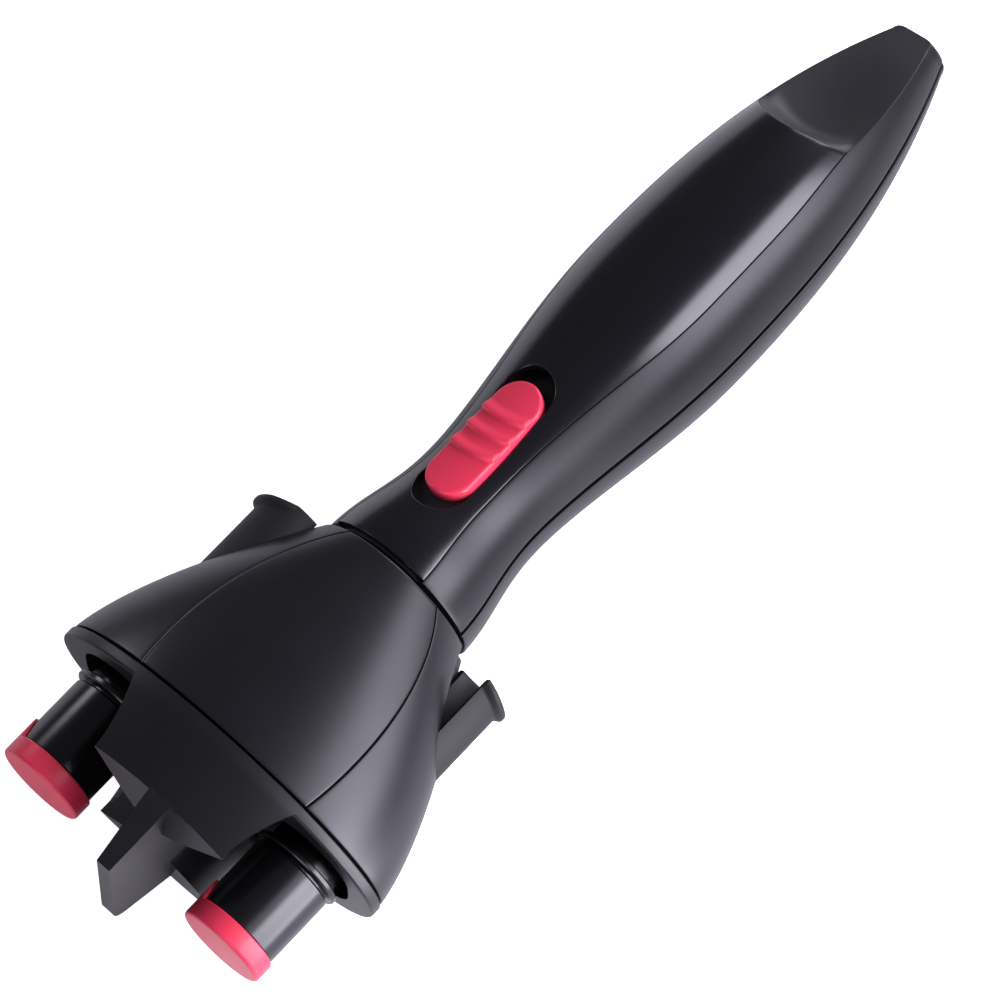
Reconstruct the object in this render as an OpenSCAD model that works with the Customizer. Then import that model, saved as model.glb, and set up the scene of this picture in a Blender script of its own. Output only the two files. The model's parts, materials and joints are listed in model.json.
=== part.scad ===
// Automatic hair braider, lying on its back: the head points along -X, the handle's end along +X,
// and the head's front cover faces +Z. Stations along the axis are counted from the collar,
// where the turning head meets the handle: the head lies at negative stations.

/* [Handle outline] */
// Station of the handle's end face
handle_end = 160; // [150:1:170]
// Running gap between the head's rear edge and the handle
collar_gap = 1; // [0.8:0.1:1.5]
// Radius of the handle's front edge
handle_collar_r = 18.2; // [17.5:0.1:18.8]
// Smallest radius, at the neck
neck_r = 14.7; // [14.6:0.1:16]
// Station of the neck
neck_at = 27; // [24:1:30]
// Largest radius, at the palm swell
bulge_r = 20.2; // [19.6:0.1:22]
// Station of the palm swell
bulge_at = 82; // [76:1:88]
// Radius just before the end face
tip_r = 6.5; // [5.6:0.1:8]
// Edge radius of the end face
tip_round = 1.4; // [0.8:0.1:2]
// Turn of the handle about the axis against the head, as stored
handle_turn = 20; // [0:1:40]

/* [Handle shells] */
// Wall of the two shells
wall = 2.2; // [1.8:0.1:2.4]
// Thickness of the front panel
panel_t = 1.6; // [1.2:0.1:1.8]
// Wall of the front shell under the panel
panel_floor_t = 1.4; // [1:0.1:1.4]
// Half angle of the front panel at the neck
panel_angle_neck = 37; // [32:1:42]
// Half angle of the front panel at the palm swell
panel_angle_swell = 49; // [44:1:54]
// Step of the panel's front edge behind the shell's
panel_notch = 1.3; // [0.5:0.1:2]
// Assembly gap round loose covers and panels
cover_gap = 0.15; // [0.1:0.05:0.3]

/* [Thumb scoop] */
// Station of the scoop's edge on the centre line
scoop_at = 122; // [121:1:126]
// Radius of the scoop's edge, seen from the front
scoop_edge_r = 19; // [16:1:24]
// Height of the scoop's floor at its edge
scoop_floor_z = 10.7; // [9.8:0.1:12]
// Slope of the scoop's floor towards the end
scoop_slope = 6.9; // [5:0.1:9]
// Thickness of the shell under the scoop's floor
scoop_wall = 2; // [1.6:0.1:2.4]

/* [Switch] */
// Station of the middle of the slot
slot_at = 32; // [30:1:33]
// Length of the slot
slot_len = 37; // [36:0.5:38]
// Length of the knob
knob_len = 29.6; // [28:0.1:30]
// Width of the knob
knob_w = 11.2; // [9.6:0.1:11.6]
// Gap on each side of the knob
knob_side_gap = 0.3; // [0.2:0.05:0.5]
// Height of the knob above the handle
knob_proud = 1.1; // [0.8:0.1:2.2]
// Pitch of the knob's ridges
ridge_pitch = 4.7; // [4:0.1:5.2]
// Radius of a ridge
ridge_r = 0.9; // [0.6:0.1:1.2]
// Travel of the knob to each side
switch_travel = 3.5; // [2:0.1:3.5]
// Height of the flat seat that the knob slides on
seat_z = 12.95; // [12.7:0.05:13.1]
// Length of the switch body
switch_len = 13; // [13:0.1:14]
// Width of the switch body
switch_w = 7; // [6.6:0.1:8]
// Width of the knob's stem
stem_w = 2.6; // [2:0.1:3]

/* [Cells] */
// Radius of one cell
cell_r = 7.2; // [7:0.05:7.25]
// Length of one cell with its nub
cell_len = 50.5; // [49:0.1:50.8]
// Station of the cells' front end
cell_at = 70.3; // [70:0.1:71]
// Half width of the battery cover
door_half_w = 13.5; // [12:0.1:14]
// Thickness of a contact plate
contact_t = 0.5; // [0.3:0.1:0.6]
// Thickness of a bulkhead
bulkhead_t = 1.5; // [1.2:0.1:1.8]
// Depth of the bulkheads below the axis
bulkhead_drop = 9; // [7:0.5:10]

/* [Motor and gearbox] */
// Radius of the motor can
motor_r = 10.05; // [9.8:0.05:10.2]
// Half height over the can's flats
motor_flat_z = 7.5; // [7.2:0.1:7.6]
// Length of the motor can
motor_len = 25.1; // [24:0.1:26]
// Wall of the motor can
can_t = 0.8; // [0.6:0.1:1]
// Module of the gearbox teeth
gear_module = 0.5; // [0.46:0.01:0.5]
// Teeth of each sun
sun_teeth = 9; // [9:3:9]
// Teeth of each planet
planet_teeth = 15; // [15:3:15]
// Planets in a stage
planet_count = 3; // [3:1:3]
// Face width of the planets
planet_face = 4; // [3:0.1:4]
// Radius of the gearbox housing
housing_r = 11.5; // [11.4:0.05:11.55]
// Station of the gearbox housing's front face
housing_at = 7.5; // [7.3:0.1:8]
// Thickness of the housing's front wall
housing_wall = 2; // [1.6:0.1:2.2]
// Thickness of a planet carrier
carrier_t = 1.5; // [1.2:0.1:1.6]
// Radius of a planet pin
pin_r = 0.8; // [0.7:0.05:0.9]

/* [Shaft and neck] */
// Radius of the drive shaft
shaft_r = 2.5; // [2.2:0.05:2.8]
// Inner radius of the head hub
hub_bore_r = 5; // [4.6:0.1:5.2]
// Outer radius of the head hub
hub_r = 7; // [6.8:0.1:7.2]
// Inner radius of the neck sleeve
sleeve_bore_r = 9; // [8.8:0.1:9.4]
// Outer radius of the neck sleeve
sleeve_r = 11; // [10.6:0.1:11.4]
// Station of the neck sleeve's front end
sleeve_at = -16; // [-18:0.5:-14]
// Running clearance of a shaft in its bush
running = 0.05; // [0.02:0.01:0.08]
// Side clearance between pieces that turn past each other
side_gap = 0.4; // [0.3:0.05:0.5]

/* [Head outline] */
// Length of the head from the collar to the rim's parting line
head_len = 48.5; // [46:0.5:52]
// Radius of the head's rear edge
head_collar_r = 18.9; // [18.6:0.1:19.6]
// Half width of the head at the rim
rim_half_w = 40.8; // [39:0.2:42]
// Half depth of the head at the rim
rim_half_d = 24.4; // [24:0.2:27]
// Fullness of the head's flare
flare_power = 1.45; // [1.4:0.05:1.8]
// Wall of the head's shells
head_wall = 2; // [1.6:0.1:2.2]
// Half width of the front cover
seam_half_w = 22.2; // [20:0.1:23]
// Station at which the front cover is widest
seam_mid = -37; // [-40:1:-34]
// Half length of the arc that the cover's seams follow
seam_reach = 43; // [39:1:46]
// Gap between neighbouring shells of the head
shell_gap = 0.2; // [0.1:0.05:0.3]
// Height of the rim band
band_h = 2.4; // [2:0.1:3]
// Step of the rim band outside the shells
band_proud = 0.3; // [0.1:0.1:0.6]

/* [Nose] */
// Half width of the skirts at the rim
skirt_half_w = 21.8; // [20:0.2:22.4]
// Half width of the skirts at their lower edge
skirt_low_half_w = 16.6; // [15:0.2:17.6]
// Half depth of the skirts at their lower edge
skirt_low_half_d = 22.3; // [21:0.1:23.5]
// Station of the front skirt's lower edge
front_skirt_at = -65.5; // [-67:0.5:-61]
// Station of the back skirt's lower edge
back_skirt_at = -67.6; // [-69:0.2:-62]
// Thickness of the divider fin
fin_t = 5.6; // [4:0.2:6.4]
// Loss of thickness towards the fin's tip, on one side
fin_taper = 2.5; // [0.5:0.1:3]
// Station of the fin's foremost point
fin_tip = -83.4; // [-85:0.2:-80]
// Setback of the fin's front corner from its foremost point
fin_setback = 1.1; // [0:0.1:6]
// Lean of the front skirt's underside
skirt_lean = 14.9; // [8:0.1:20]
// Depth at which the skirts leave the fin
skirt_waist_z = 11; // [10:0.5:12]
// Half width at which the skirts' flanks turn outwards
flank_turn_y = 8; // [7:0.5:9]
// Depth of the skirts' flanks there
flank_turn_z = 14; // [13.5:0.5:15]
// Depth of the flanks at the lower edge's ends
flank_knee_z = 20.2; // [19.6:0.1:20.8]
// Depth of the flanks at the rim
flank_rim_z = 20.7; // [20.3:0.1:20.9]
// Wall of the hollow nose
nose_wall = 2; // [1.6:0.1:2.4]
// Depth of the fin's foremost point behind the axis
fin_tip_z = 11; // [8:0.5:16]
// Depth at which the fin meets the back skirt's edge
fin_root_z = 20.5; // [18:0.5:21]

/* [Rollers] */
// Distance from the head's side at the rim in to a roller's axis
roller_inset = 16.8; // [16.4:0.1:17.2]
// Radius of the barrel
barrel_r = 9; // [8.6:0.1:9.2]
// Bore for the hair
hair_bore_r = 5.2; // [4.6:0.1:5.6]
// Outer radius of the roller tube
tube_r = 7.5; // [7.2:0.1:7.8]
// Radius of the end cap
cap_r = 9.6; // [9.3:0.1:9.8]
// Length of the end cap
cap_len = 4.4; // [3.6:0.1:6]
// Edge radius of the end cap
cap_edge = 0.8; // [0.5:0.1:1.4]
// Length of the pointed ear on the end cap's side
ear_len = 5.2; // [3:0.1:6]
// Half angle of the ear where it leaves the cap
ear_angle = 34; // [20:1:50]
// Station of the end cap's outer face
cap_at = -75.5; // [-77:0.5:-74]
// Height of the barrel's lower end above the base plate's face
barrel_clear = 4.1; // [3.6:0.1:4.6]
// Radius of the ring at the barrel's foot
foot_r = 9.9; // [9.4:0.1:10.1]
// Width of the slot through which the hair leaves the barrel
hair_slot_w = 6; // [5:0.5:7]
// Length of that slot
hair_slot_len = 11; // [8:0.5:12]
// Teeth of the sun gear between the rollers
head_sun_teeth = 28; // [28:4:28]
// Teeth of a roller gear
roller_teeth = 20; // [20:4:20]
// Face width of the head's gears
head_face = 5.5; // [5:0.1:5.8]

/* [Hair guides] */
// Inner radius of a hair guide
guide_bore_r = 6.2; // [5.8:0.1:6.6]
// Outer radius of a hair guide
guide_r = 8; // [7.8:0.1:8.2]
// Station at which a guide opens
guide_open_at = -19; // [-21:0.5:-17]
// Station of a guide's lip
guide_end_at = -1.2; // [-4:0.2:-0.8]
// Radius of the flared lip
lip_r = 9.3; // [8.8:0.1:9.8]
// Thickness of the flared lip
lip_t = 1.3; // [1:0.1:1.6]
// Slant of the lip
lip_slant = 18; // [10:1:24]
// Distance from a guide's axis out to its open edge
guide_edge = 3.3; // [2.8:0.1:4]
// Distance from a guide's axis in to its other open edge
guide_inner_edge = 4.8; // [4:0.1:5.2]

/* [Fasteners] */
// Radius of a screw's shank
screw_r = 1.2; // [1:0.05:1.3]
// Radius of a screw's head
screw_head_r = 2.2; // [2:0.1:2.4]
// Height of a screw's head
screw_head_h = 1.6; // [1.2:0.1:1.8]
// Length of the screws that hold the nose
nose_screw_len = 24; // [22:0.5:26]
// Radius of a screw boss
boss_r = 3.2; // [3:0.1:3.4]

/* [Hidden] */

black = [0.11, 0.105, 0.13];
gloss_black = [0.05, 0.05, 0.06];
red = [0.93, 0.24, 0.33];
steel = [0.7, 0.71, 0.73];
brass = [0.78, 0.62, 0.32];
white_pom = [0.9, 0.9, 0.87];
round_fn = 96;
eps = 0.01;
big = 60;

// The whole length is centred on the origin.
collar_x = -(handle_end + fin_tip) / 2;

// Rollers and guides
roller_y = rim_half_w - roller_inset;

// Gear trains
pinion_pitch_r = gear_module * sun_teeth / 2;
planet_pitch_r = gear_module * planet_teeth / 2;
planet_orbit = pinion_pitch_r + planet_pitch_r;
ring_teeth = sun_teeth + 2 * planet_teeth;
head_module = 2 * roller_y / (head_sun_teeth + roller_teeth);
addendum = 0.8;
dedendum = 1.15;
backlash = 0.1;

// Stations in the gearbox, from the housing's front wall to the motor
carrier2_at = housing_at + housing_wall + side_gap;
planets2_at = carrier2_at + carrier_t + side_gap;
carrier1_at = planets2_at + planet_face + side_gap;
planets1_at = carrier1_at + carrier_t + side_gap;
motor_at = planets1_at + planet_face + side_gap;
motor_end = motor_at + motor_len;
housing_len = motor_at - housing_at;

// Stations in the head
rim_at = -head_len;
plate_face_at = rim_at - band_h;
pocket_r = cap_r + 1.2;
pocket_reach = 2.4;
pocket_floor_at = rim_at + 1.9;
pocket_floor_t = 1.4;
gears_at = pocket_floor_at + pocket_floor_t - 0.9 + side_gap;
gear_gap_end = gears_at + head_face + side_gap;
gear_plate_at = gear_gap_end + 2.2;
gear_plate_t = 2.5;
hub_front = gear_plate_at + gear_plate_t;
guide_start = hub_front + side_gap;
shaft_front = rim_at - 1.2;

// Stations in the neck
flange_at = collar_gap + 2;
flange_t = 2;
rib_t = 1.3;
hub_end = housing_at - side_gap - 0.4;
circlip_at = flange_at + flange_t + 0.15;
circlip_t = 0.8;
circlip_groove = 0.8;

// Stations round the cells
cell_end = cell_at + cell_len;
front_contact_at = cell_at - 1.2 - contact_t;
front_bulkhead_at = front_contact_at - bulkhead_t;
rear_contact_at = cell_end + 0.9;
rear_bulkhead_at = rear_contact_at + contact_t;
door_from = front_bulkhead_at;
door_to = rear_bulkhead_at + bulkhead_t;
lead_z = 9.4;
lead_y = 2.4;
lead_r = 0.6;
screw_at = (motor_end + front_bulkhead_at) / 2;
screw_y = 9.5;
end_screw_at = 136;
screw_seat_z = -9;
screw_len = 16.5;

function clamp01(t) = max(0, min(1, t));
function ease(t) = (1 - cos(180 * clamp01(t))) / 2;

// Radius of the handle at a station: a bell at the collar, a neck, a palm swell and a tapering end.
function handle_r(u) =
    u <= neck_at
    ? neck_r + (handle_collar_r - neck_r)
        * pow(1 - ease((u - collar_gap) / (neck_at - collar_gap)), 1.25)
    : u <= bulge_at
    ? neck_r + (bulge_r - neck_r) * pow(ease((u - neck_at) / (bulge_at - neck_at)), 0.8)
    : bulge_r - (bulge_r - tip_r) * pow((u - bulge_at) / (handle_end - bulge_at), 2.4);

steps_bell = 7;
steps_swell = 8;
steps_taper = 11;
handle_stations = concat(
    [for (i = [0 : steps_bell]) collar_gap + (neck_at - collar_gap) * i / steps_bell],
    [for (i = [1 : steps_swell]) neck_at + (bulge_at - neck_at) * i / steps_swell],
    [for (i = [1 : steps_taper])
        bulge_at + (handle_end - tip_round - bulge_at) * i / steps_taper]
);
last_station = len(handle_stations) - 1;

// Outline of the handle, moved inwards by a depth, from the open front to the closed end
function handle_line(depth) = concat(
    [for (u = handle_stations) [max(0.4, handle_r(u) - depth), min(u, handle_end - tip_round - depth)]],
    [[max(0.2, handle_r(handle_end - tip_round) - tip_round - depth / 2), handle_end - depth]],
    [[0, handle_end - depth]]
);
function reversed(list) = [for (i = [len(list) - 1 : -1 : 0]) list[i]];

module along_x() {
    translate([collar_x, 0, 0]) children();
}

module handle_frame() {
    along_x() rotate([-handle_turn, 0, 0]) children();
}

// Cylinder along the axis between two stations
module rod(r, from, to, y = 0, z = 0, fn = round_fn) {
    translate([from, y, z]) rotate([0, 90, 0]) cylinder(r = r, h = to - from, $fn = fn);
}

// Ring along the axis between two stations
module ring(r_in, r_out, from, to, y = 0, z = 0) {
    difference() {
        rod(r_out, from, to, y, z);
        rod(r_in, from - 1, to + 1, y, z);
    }
}

// Solid of the handle, moved inwards by a depth
module handle_solid(depth) {
    rotate([0, 90, 0]) rotate_extrude($fn = round_fn)
        polygon(concat([[0, collar_gap - eps]], [[handle_line(depth)[0][0], collar_gap - eps]],
            handle_line(depth)));
}

// Skin of the handle between two depths, closed at the end
module handle_skin(outer, inner) {
    rotate([0, 90, 0]) rotate_extrude($fn = round_fn)
        polygon(concat(handle_line(outer), reversed(handle_line(inner))));
}

module front_half() {
    translate([-big, -big, 0]) cube([handle_end + 2 * big, 2 * big, big]);
}

module back_half() {
    translate([-big, -big, -big]) cube([handle_end + 2 * big, 2 * big, big]);
}

// Half width of the front panel at a station
function panel_half_w(u) = handle_r(u) * sin(panel_angle_neck
    + (panel_angle_swell - panel_angle_neck) * ease((u - neck_at) / (bulge_at - neck_at)));

// The front panel seen from the front, extruded towards the viewer
module panel_prism(grow) {
    outline = [for (u = handle_stations) if (u < scoop_at + scoop_edge_r) [u, panel_half_w(u) + grow]];
    start = collar_gap + panel_notch - grow;
    side = concat([[start, outline[0][1]]], [for (i = [1 : len(outline) - 1]) outline[i]]);
    linear_extrude(big) polygon(concat(side, reversed([for (p = side) [p[0], -p[1]]])));
}

// Everything behind the scoop's round edge and above its sloping floor, or deeper
module scoop_cutter(grow, deeper = 0) {
    translate([scoop_at, 0, scoop_floor_z]) rotate([0, scoop_slope, 0])
        translate([scoop_edge_r - grow, 0, -grow - deeper]) {
            cylinder(r = scoop_edge_r, h = big, $fn = round_fn);
            translate([0, -big, 0]) cube([big, 2 * big, big]);
        }
}

module stadium(length, width, from_z, to_z) {
    half = (length - width) / 2;
    translate([-half, -width / 2, from_z]) cube([2 * half, width, to_z - from_z]);
    for (side = [-1, 1])
        translate([side * half, 0, from_z]) cylinder(r = width / 2, h = to_z - from_z, $fn = 48);
}

slot_w = knob_w + 2 * knob_side_gap;
stem_len = 3;
window_len = stem_len + 2 * switch_travel + 1;
actuator_depth = 1.6;
switch_top = seat_z - panel_floor_t;
switch_bottom = motor_flat_z + 0.2;
// The body's upper edges stay clear of the round wall beside the seat
switch_body_top = min(switch_top - 0.15,
    sqrt(pow(neck_r - panel_t - panel_floor_t, 2) - pow(switch_w / 2, 2)) - 0.1);

module handle_screw_places() {
    for (side = [-1, 1]) translate([screw_at, side * screw_y, 0]) children();
    translate([end_screw_at, 0, 0]) children();
}

module handle_front_shell() {
    color(black) handle_frame() difference() {
        union() {
            intersection() {
                front_half();
                difference() {
                    handle_skin(0, wall);
                    difference() {
                        panel_prism(cover_gap);
                        scoop_cutter(-0.08, bulge_r);
                    }
                }
            }
            intersection() {
                panel_prism(0.8);
                difference() {
                    handle_skin(panel_t, panel_t + panel_floor_t);
                    scoop_cutter(0);
                }
            }
            // floor under the thumb scoop
            intersection() {
                handle_solid(panel_t + 0.1);
                translate([scoop_at - 2, -big, 0])
                    translate([0, 0, scoop_floor_z]) rotate([0, scoop_slope, 0])
                    translate([0, 0, -scoop_wall]) cube([big, 2 * big, scoop_wall + 0.5]);
            }
            // seat of the switch knob
            intersection() {
                handle_solid(panel_t);
                translate([slot_at, 0, 0]) stadium(slot_len + 5, slot_w + 2, switch_top, seat_z);
            }
            // ribs that hold the neck sleeve, the housing and the cells
            intersection() {
                front_half();
                handle_solid(wall - 0.4);
                union() {
                    ring(sleeve_r + 0.6, big / 2, flange_at - 0.1 - rib_t, flange_at - 0.1);
                    ring(sleeve_r + 0.6, big / 2, flange_at + flange_t + 0.1,
                        flange_at + flange_t + 0.1 + rib_t);
                    ring(housing_r + 0.1, big / 2, housing_at + 5, housing_at + 5 + rib_t);
                }
            }
            intersection() {
                union() {
                    intersection() {
                        handle_solid(wall - 0.4);
                        front_half();
                    }
                    handle_solid(wall + 0.1);
                }
                for (at = [front_bulkhead_at, rear_bulkhead_at])
                    translate([at, -cell_r * 2 + 0.4, -bulkhead_drop])
                        cube([bulkhead_t, cell_r * 4 - 0.8, bulkhead_drop + scoop_floor_z - 1.5]);
            }
            for (at = [front_bulkhead_at])
                intersection() {
                    handle_solid(panel_t + 0.4);
                    translate([at, -cell_r * 2 + 0.4, 0]) cube([bulkhead_t, cell_r * 4 - 0.8, big]);
                }
            // posts for the screws
            intersection() {
                handle_solid(panel_t + 0.4);
                handle_screw_places() cylinder(r = boss_r, h = big, $fn = 32);
                translate([0, -big, 0]) cube([2 * handle_end, 2 * big, big]);
            }
        }
        scoop_cutter(0);
        translate([slot_at, 0, 0]) stadium(slot_len, slot_w, seat_z, big);
        translate([slot_at - window_len / 2, -stem_w / 2 - 0.2, 0])
            cube([window_len, stem_w + 0.4, big]);
        handle_screw_places() translate([0, 0, -1])
            cylinder(r = screw_r, h = screw_seat_z + screw_len + 1.5, $fn = 24);
        for (side = [-1, 1]) rod(lead_r + 0.3, motor_end, front_contact_at, side * lead_y, lead_z, 24);
    }
}

module handle_front_panel() {
    color(black) handle_frame() difference() {
        intersection() {
            panel_prism(0);
            handle_skin(0, panel_t - 0.1);
        }
        scoop_cutter(cover_gap, bulge_r);
        translate([slot_at, 0, 0]) stadium(slot_len, slot_w, 0, big);
    }
}

module door_prism(shrink) {
    translate([door_from + shrink, -door_half_w + shrink, -big])
        cube([door_to - door_from - 2 * shrink, 2 * (door_half_w - shrink), big - 5]);
}

module handle_back_shell() {
    color(black) handle_frame() difference() {
        union() {
            intersection() {
                back_half();
                handle_skin(0, wall);
            }
            intersection() {
                back_half();
                handle_solid(wall - 0.4);
                union() {
                    ring(sleeve_r + 0.6, big / 2, flange_at - 0.1 - rib_t, flange_at - 0.1);
                    ring(sleeve_r + 0.6, big / 2, flange_at + flange_t + 0.1,
                        flange_at + flange_t + 0.1 + rib_t);
                    ring(housing_r + 0.1, big / 2, housing_at + 5, housing_at + 5 + rib_t);
                    ring(motor_r + 0.15, big / 2, motor_end - 6, motor_end - 6 + rib_t);
                }
            }
            intersection() {
                back_half();
                handle_solid(wall - 0.4);
                handle_screw_places() translate([0, 0, -big]) cylinder(r = boss_r, h = big, $fn = 32);
            }
        }
        door_prism(0);
        handle_screw_places() {
            translate([0, 0, -big]) cylinder(r = screw_r + 0.1, h = big + 1, $fn = 24);
            translate([0, 0, -big]) cylinder(r = screw_head_r + 0.2, h = big + screw_seat_z, $fn = 32);
        }
    }
}

module battery_cover() {
    color(black) handle_frame() intersection() {
        door_prism(cover_gap);
        handle_skin(0, wall);
    }
}

module handle_screws() {
    color(steel) handle_frame() handle_screw_places() {
        translate([0, 0, screw_seat_z - eps]) cylinder(r = screw_r - 0.05, h = screw_len, $fn = 24);
        translate([0, 0, screw_seat_z - screw_head_h]) cylinder(r = screw_head_r, h = screw_head_h, $fn = 32);
    }
}

module switch_knob() {
    color(red) handle_frame() {
        intersection() {
            translate([slot_at, 0, 0]) stadium(knob_len, knob_w, seat_z + 0.1, big);
            union() {
                handle_solid(-knob_proud);
                for (i = [-1 : 1])
                    rotate([0, 90, 0]) translate([0, 0, slot_at + i * ridge_pitch])
                        rotate_extrude($fn = round_fn)
                        translate([handle_r(slot_at + i * ridge_pitch) + knob_proud, 0])
                        circle(r = ridge_r, $fn = 24);
            }
        }
        translate([slot_at - stem_len / 2, -stem_w / 2, switch_top - actuator_depth + 0.2])
            cube([stem_len, stem_w, seat_z - switch_top + actuator_depth]);
    }
}

module switch_body() {
    color([0.2, 0.2, 0.22]) handle_frame() difference() {
        translate([slot_at - switch_len / 2, -switch_w / 2, switch_bottom])
            cube([switch_len, switch_w, switch_body_top - switch_bottom]);
        translate([slot_at - window_len / 2, -stem_w / 2 - 0.2, switch_top - actuator_depth])
            cube([window_len, stem_w + 0.4, big]);
    }
}

module cell(side) {
    color([0.35, 0.36, 0.38]) handle_frame() {
        rod(cell_r, cell_at, cell_end - 1, side * (cell_r + 0.03));
        rod(2.7, cell_end - 1 - eps, cell_end, side * (cell_r + 0.03));
    }
}

module cell_1() {
    cell(1);
}

module cell_2() {
    cell(-1);
}

contact_half = 5;
module battery_contact_front() {
    color(steel) handle_frame() {
        for (side = [-1, 1]) {
            y = side * (cell_r + 0.03);
            translate([front_contact_at, y - contact_half, -contact_half])
                cube([contact_t, 2 * contact_half, 2 * contact_half]);
            ring(1.9, 2.6, front_contact_at + contact_t - eps, cell_at - 0.05, y);
            // tab up to the lead
            translate([front_contact_at, side * lead_y - 1.2, 0]) cube([contact_t, 2.4, lead_z + 1]);
        }
    }
}

module battery_contact_rear() {
    color(steel) handle_frame() {
        translate([rear_contact_at, -cell_r - contact_half, -contact_half])
            cube([contact_t, 2 * (cell_r + contact_half), 2 * contact_half]);
        for (side = [-1, 1])
            rod(2.2, cell_end + 0.05, rear_contact_at + eps, side * (cell_r + 0.03));
    }
}

module battery_leads() {
    color([0.75, 0.1, 0.1]) handle_frame()
        for (side = [-1, 1])
            rod(lead_r, slot_at + switch_len / 2, front_contact_at, side * lead_y, lead_z, 24);
}

terminal_z = 4.2;
terminal_y = 5.5;
lead_rise_at = motor_end + 3;
lead_end_at = slot_at + switch_len / 2 - 2;
module motor_leads() {
    color([0.15, 0.2, 0.6]) handle_frame()
        for (side = [-1, 1]) {
            y = side * terminal_y;
            rod(lead_r, motor_end + 1, lead_rise_at, y, terminal_z, 24);
            translate([lead_rise_at, y, terminal_z]) sphere(r = lead_r, $fn = 24);
            translate([lead_rise_at, y, terminal_z]) cylinder(r = lead_r, h = 4.4, $fn = 24);
            translate([lead_rise_at, y, terminal_z + 4.4]) sphere(r = lead_r, $fn = 24);
            rod(lead_r, lead_end_at, lead_rise_at, y, terminal_z + 4.4, 24);
            translate([lead_end_at, y, terminal_z + 4.4]) sphere(r = lead_r, $fn = 24);
            translate([lead_end_at, side * switch_w / 2, terminal_z + 4.4]) rotate([-90 * side, 0, 0])
                cylinder(r = lead_r, h = terminal_y - switch_w / 2, $fn = 24);
        }
}

module can_section(shrink, from, to) {
    intersection() {
        rod(motor_r - shrink, from, to);
        translate([from, -big, -motor_flat_z + shrink])
            cube([to - from, 2 * big, 2 * (motor_flat_z - shrink)]);
    }
}

end_cap_t = 2;
magnet_in_r = 7.1;
armature_r = 6.6;
motor_shaft_r = 1;
module motor_can() {
    color(steel) handle_frame() difference() {
        can_section(0, motor_at, motor_end);
        can_section(can_t, motor_at + can_t, motor_end + 1);
        rod(motor_shaft_r + 0.4, motor_at - 1, motor_at + 2, fn = 32);
    }
}

module motor_end_cap() {
    color(white_pom) handle_frame() {
        difference() {
            can_section(can_t + 0.05, motor_end - end_cap_t, motor_end);
            rod(motor_shaft_r + running, motor_at, motor_end + 1, fn = 32);
        }
        for (side = [-1, 1])
            translate([motor_end - eps, side * terminal_y - 0.8, terminal_z - 0.8])
                cube([1, 1.6, 1.6]);
    }
}

module motor_magnets() {
    color([0.25, 0.25, 0.26]) handle_frame() intersection() {
        difference() {
            can_section(can_t + 0.05, motor_at + 5, motor_end - 5);
            rod(magnet_in_r, motor_at, motor_end);
        }
        union() {
            for (side = [-1, 1])
                translate([motor_at, side * big / 2 + side * 4 - big / 2, -big / 2])
                    cube([motor_len, big, big]);
        }
    }
}

module motor_armature() {
    color(brass) handle_frame() {
        rod(motor_shaft_r, planets1_at, motor_end + 0.8, fn = 32);
        rod(armature_r, motor_at + 6, motor_end - 6);
        rod(2.6, motor_end - 6, motor_end - 3, fn = 32);
    }
}

// Involute outline of a gear. The flank's half angle at radius r comes from the involute of the
// base circle; below that circle the flank is radial.
pressure_angle = 20;
function involute(angle) = tan(angle) * 180 / PI - angle;
function half_tooth(r, pitch_r, teeth, thin) =
    90 / teeth - thin * 90 / (PI * pitch_r)
    + involute(pressure_angle) - involute(acos(min(1, pitch_r * cos(pressure_angle) / r)));
function gear_outline(teeth, mod, out_r, root_r, thin) = let (
        pitch_r = teeth * mod / 2,
        base_r = pitch_r * cos(pressure_angle),
        radii = [root_r, max(root_r + eps, base_r), (max(root_r, base_r) + out_r) / 2, out_r]
    ) [
        for (t = [0 : teeth - 1]) for (k = [0 : 7]) let (
            side = k < 4 ? -1 : 1,
            r = radii[k < 4 ? k : 7 - k],
            a = t * 360 / teeth + side * half_tooth(max(r, base_r), pitch_r, teeth, thin)
        ) [r * cos(a), r * sin(a)]
    ];

// Gear with a tooth at the angle given, on an axis along X; angle 0 points along +Y
module gear(teeth, mod, from, face, angle = 0, y = 0, z = 0) {
    pitch_r = teeth * mod / 2;
    translate([from, y, z]) rotate([90, 0, 90]) linear_extrude(face) rotate([0, 0, angle])
        polygon(gear_outline(teeth, mod, pitch_r + addendum * mod, pitch_r - dedendum * mod,
            backlash * mod));
}

module motor_pinion() {
    color(brass) handle_frame() difference() {
        gear(sun_teeth, gear_module, planets1_at, planet_face);
        rod(motor_shaft_r + 0.02, planets1_at - 1, motor_at, fn = 32);
    }
}

module gearbox_housing() {
    ring_pitch_r = ring_teeth * gear_module / 2;
    color(white_pom) handle_frame() difference() {
        rod(housing_r, housing_at, motor_at - 0.05);
        translate([housing_at + housing_wall, 0, 0]) rotate([90, 0, 90])
            linear_extrude(housing_len) polygon(gear_outline(ring_teeth, gear_module, ring_pitch_r + dedendum * gear_module,
                ring_pitch_r - addendum * gear_module, -backlash * gear_module));
        rod(shaft_r + running, housing_at - 1, housing_at + housing_wall + 1);
    }
}

function planet_angle(i) = i * 360 / planet_count;

module planet(i, from) {
    a = planet_angle(i);
    color(white_pom) handle_frame() difference() {
        gear(planet_teeth, gear_module, from, planet_face, a,
            planet_orbit * cos(a), planet_orbit * sin(a));
        rod(pin_r + running, from - 1, from + planet_face + 1,
            planet_orbit * cos(a), planet_orbit * sin(a), 32);
    }
}

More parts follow.
